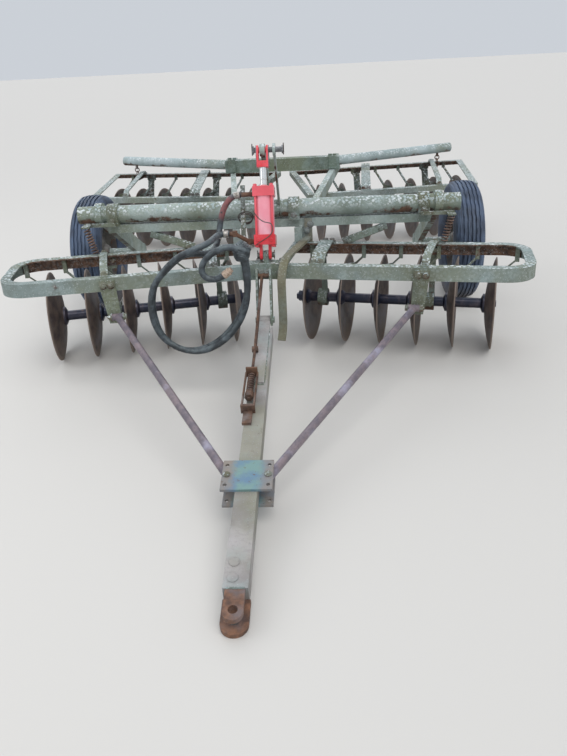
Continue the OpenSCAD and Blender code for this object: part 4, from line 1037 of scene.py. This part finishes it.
def add_base_cotters(made):
    """A washer and a cotter at each end of the cylinder's lower pin."""
    shape = Shape()
    pin_x, y, z = BASE_PIN
    for sign in SIGNS:
        x = pin_x + sign * 38
        shape.turned(at(x, y, z), sign * ACROSS, [(19, 0), (19, 3.5), (13, 3.6)], 28)
        shape.tube([at(x + sign * 2, y, z - 20), at(x + sign * 2, y, z + 22)], 2.2, 8)
    shape.piece("base_pin_cotters", made["bolt_rust"], "chassis")


def add_rod_clips(made):
    """A bent wire clip at each end of the cylinder's upper pin."""
    shape = Shape()
    pin_x, pin_y, pin_z = ROD_PIN
    bends = ((0, -24), (0, 18), (9, 26), (16, 14), (13, -14))
    for x in (-48, 98):
        shape.tube([at(pin_x + x, pin_y + y, pin_z + z) for y, z in bends], 2.3, 8)
    shape.piece("rod_pin_clips", made["wire_rust"], "lift_rod")


# Hoses, their fittings, the cloth round them and loose wires

# Each hose's points, as in the part's source

UPPER_ROUTE = [
    (-96.7, -290, 874), (-112, -290, 873), (-132, -291, 867), (-157, -294, 848),
    (-181, -299, 812), (-197, -306, 765), (-207, -318, 718), (-214, -344, 680), (-222, -386, 656),
    (-236, -440, 648), (-262, -500, 656), (-300, -552, 672), (-350, -584, 668), (-418, -590, 616),
    (-477, -590, 552), (-502, -590, 470), (-502, -590, 390), (-482, -590, 306), (-426, -590, 242),
    (-359, -590, 219), (-282, -590, 229), (-206, -590, 271), (-145, -590, 331), (-97, -590, 405),
    (-66, -590, 490), (-58, -589, 560), (-60, -587, 625), (-70, -584, 684)]
LOWER_ROUTE = [
    (-150.7, -392, 716), (-168, -392, 716), (-187, -397, 716), (-201, -420, 718),
    (-207, -458, 721), (-211, -510, 724), (-220, -560, 724), (-246, -600, 718), (-300, -620, 702),
    (-368, -624, 668), (-436, -624, 606), (-484, -624, 538), (-504, -624, 460), (-500, -624, 378),
    (-474, -624, 310), (-428, -624, 264), (-360, -624, 232), (-282, -624, 230), (-208, -624, 262),
    (-146, -624, 314), (-98, -624, 382), (-68, -624, 460), (-60, -624, 540), (-62, -626, 610),
    (-70, -632, 664), (-90, -643, 704), (-124, -653, 722), (-166, -660, 714), (-208, -662, 692),
    (-240, -662, 658), (-249, -662, 622), (-233, -662, 594), (-200, -662, 584), (-165, -662, 594),
    (-138, -662, 612)]


def sleeve(shape, path, inner, outer):
    """A crimped sleeve round a stretch of hose, with a rolled edge at each end."""
    crimp = 1.2
    fine = [a.lerp(b, k / 3) for a, b in zip(path, path[1:]) for k in range(3)] + [path[-1]]
    last = len(fine) - 1
    radii = [inner if i in (0, last) else outer - crimp * (i % 3 == 1) for i in range(len(fine))]
    shape.tube(fine, radii, 20)


def add_upper_fitting(made, hose_end, before_end):
    shape = Shape()
    shape.tube([hose_end, hose_end.lerp(before_end, -3.0), at(-72, -586, 712)], 9, 12)
    return shape.piece("upper_hose_fitting", made["coupler_steel"], "chassis")


def add_lower_fitting(made, hose_end):
    shape = Shape()
    ahead = (at(-113, -662, 631) - hose_end).normalized()
    ferrule = [(16.6, 0), (17.5, 2), (17.5, 16), (16.8, 18), (16.8, 22), (15, 23), (15, 30),
               (12.5, 31), (12.5, 44)]
    shape.turned(hose_end - ahead * 0.020, ahead, ferrule, 24)
    shape.turned(hose_end + ahead * 0.004, ahead, [(18.5, 0), (18.5, 9)], 6)
    return shape.piece("lower_hose_fitting", made["coupler_tan"], "chassis")


def add_hose(name, path, material, node):
    """A hose swept along its path, fixed to no body, in place of the frame's node, which is hidden."""
    shape = Shape()
    shape.tube(path, HOSE_D / 2, 24)
    hose = shape.piece(name, material, None, 60)
    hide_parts(node)
    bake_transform(hose)


def add_hoses(made):
    upper = smooth_path(UPPER_ROUTE)
    lower = smooth_path(LOWER_ROUTE)
    upper_fitting = add_upper_fitting(made, upper[-1], upper[-2])
    lower_fitting = add_lower_fitting(made, lower[-1])
    add_hose("upper_hose", upper, made["hose_worn"], "hose_long")
    add_hose("lower_hose", lower, made["hose_rubber"], "hose_short")

    shape = Shape()
    sleeve(shape, part_of(upper, 2, 34), 14.2, 16.8)
    sleeve(shape, part_of(lower, 2, 32), 14.2, 16.8)
    shape.piece("hose_sleeves", made["coupler_steel"], "lift_barrel")

    shape = Shape()
    sleeve(shape, part_of(upper, 232, 262), 14.1, 16.4)
    shape.piece("hose_clip", made["coupler_steel"], "chassis")


def add_wrap(made):
    """Cloth wound round both hoses where they cross."""
    shape = Shape()
    winds = 14
    low = 664
    tall = 68
    for wind in range(winds):
        share = wind / (winds - 1)
        bulge = math.sin(math.pi * share)
        close = 1 - 0.92 * max(0.0, share - 0.7) / 0.3
        ring = []
        for a in full_turn(32) + [2 * math.pi]:
            uneven = 1 + 0.05 * math.sin(5 * a + wind) + 0.04 * math.sin(2 * a - wind * 0.7)
            across = close * (27 + 8 * bulge) * uneven * math.cos(a)
            fore = close * (40 + 6 * bulge) * uneven * math.sin(a)
            z = low + tall * share + 4 * math.sin(a + wind * 0.5)
            ring.append(at(-74 + across, -609 + fore, z))
        shape.tube(ring, 5.2, 8, ends=False)
    shape.piece("hose_wrap", made["wrap_cloth"], "chassis", 60)


def add_support_wire(made):
    """Three loops of wire beside the cylinder, and their bent end."""
    shape = Shape()
    wire_r = 2.1
    for lift, reach in ((0, 1.0), (6, 1.06), (-5, 0.94)):
        ring = []
        for a in full_turn(40) + [2 * math.pi]:
            x = -84 + 34 * reach * math.cos(a)
            z = 757 + lift + 24 * reach * math.sin(a)
            ring.append(at(x, -262 + 8 * math.sin(a * 2), z))
        shape.tube(ring, wire_r, 8)
    end = [(-92, -262, 758), (-100, -268, 772), (-97, -276, 786), (-88, -270, 790), (-86, -258, 780)]
    shape.tube(smooth_path(end), wire_r, 8)
    shape.piece("support_wire", made["wire_rust"], "chassis", 60)


def add_barrel_wire(made):
    """A loose wire that hangs round the cylinder's barrel."""
    shape = Shape()
    route = [(-34, -372, 812), (-14, -404, 792), (12, -409, 772), (46, -392, 756), (50, -388, 724),
             (36, -406, 704), (2, -416, 684), (-26, -402, 664)]
    shape.tube(smooth_path(route, 8), 2.3, 8)
    shape.piece("barrel_wire", made["wire_rust"], "lift_barrel", 60)


def add_links(made):
    """Two flat links on each side from the cross bar down to the front frame."""
    shape = Shape()
    for sign in SIGNS:
        top = at(sign * 597, -17, 636)
        low = at(sign * 401, -31, 571)
        ahead = (low - top).normalized()
        for y in (-0.011, 0.011):
            shift = BACK * y
            shape.bar(top + shift - ahead * 0.016, low + shift + ahead * 0.014, 34, 7, ahead.cross(BACK))
        for p in (top.lerp(low, 0.08), top.lerp(low, 0.92)):
            shape.bolt(p + AHEAD * 0.0145, AHEAD, 20, 9)
            shape.bolt(p + BACK * 0.0145, BACK, 20, 9, stud=5)
    shape.piece("flat_links", made["bracket_paint"], "chassis")


# Floor and light, in metres

FLOOR_REACH = 60
FLOOR_Z = -0.0005
SUN_WIDTH = math.radians(50)


def add_floor():
    mesh = bpy.data.meshes.new("floor")
    corners = [(x * FLOOR_REACH, y * FLOOR_REACH, 0) for x, y in ((-1, -1), (1, -1), (1, 1), (-1, 1))]
    mesh.from_pydata(corners, [], [(0, 1, 2, 3)])
    floor = bpy.data.objects.new("floor", mesh)
    bpy.context.scene.collection.objects.link(floor)
    mesh.materials.append(Nodes("floor").finish((0.60, 0.585, 0.56), 0.9))
    floor.location.z = FLOOR_Z


def add_lamp(name, kind, strength, towards, place=(0, 0, 0)):
    data = bpy.data.lights.new(name, kind)
    data.energy = strength
    lamp = bpy.data.objects.new(name, data)
    lamp.location = place
    lamp.rotation_euler = (Vector(towards) - Vector(place)).to_track_quat("-Z", "Y").to_euler()
    bpy.context.scene.collection.objects.link(lamp)
    return data


def add_light():
    """An overcast sky, two soft suns and a weak lamp that fills the left side."""
    world = bpy.data.worlds.new("world")
    world.use_nodes = True
    background = world.node_tree.nodes["Background"]
    background.inputs["Color"].default_value = (0.88, 0.93, 1.0, 1)
    background.inputs["Strength"].default_value = 0.68
    bpy.context.scene.world = world
    for name, strength, towards, color in (("key", 1.5, (-0.35, 0.55, -1.0), (1.0, 0.98, 0.95)),
                                           ("rim", 0.7, (0.3, -1.0, -0.9), (0.97, 0.98, 1.0))):
        sun = add_lamp(name, "SUN", strength, towards)
        sun.angle = SUN_WIDTH
        sun.color = color
    fill = add_lamp("fill", "AREA", 60, (0, 0, 0.4), (-4.5, -2.0, 3.5))
    fill.shape = "DISK"
    fill.size = 4.0
    bpy.context.scene.view_settings.view_transform = "Standard"


add_camera()
materials = make_materials()
add_hoses(materials)
dress_nodes(materials)
for wheel_side, wheel_sign in SIDES:
    add_tyre(materials, wheel_side, wheel_sign)
add_springs(materials)
add_frame_bolts(materials)
add_tongue_rivets(materials)
add_scraper_bolts(materials)
add_frame_welds(materials)
add_lift_welds(materials)
for wheel_side, wheel_sign in SIDES:
    add_hub_cap(materials, wheel_side, wheel_sign)
    add_air_valve(materials, wheel_side, wheel_sign)
add_cylinder_fittings(materials)
add_base_cotters(materials)
add_rod_clips(materials)
add_wrap(materials)
add_support_wire(materials)
add_barrel_wire(materials)
add_links(materials)
add_floor()
add_light()
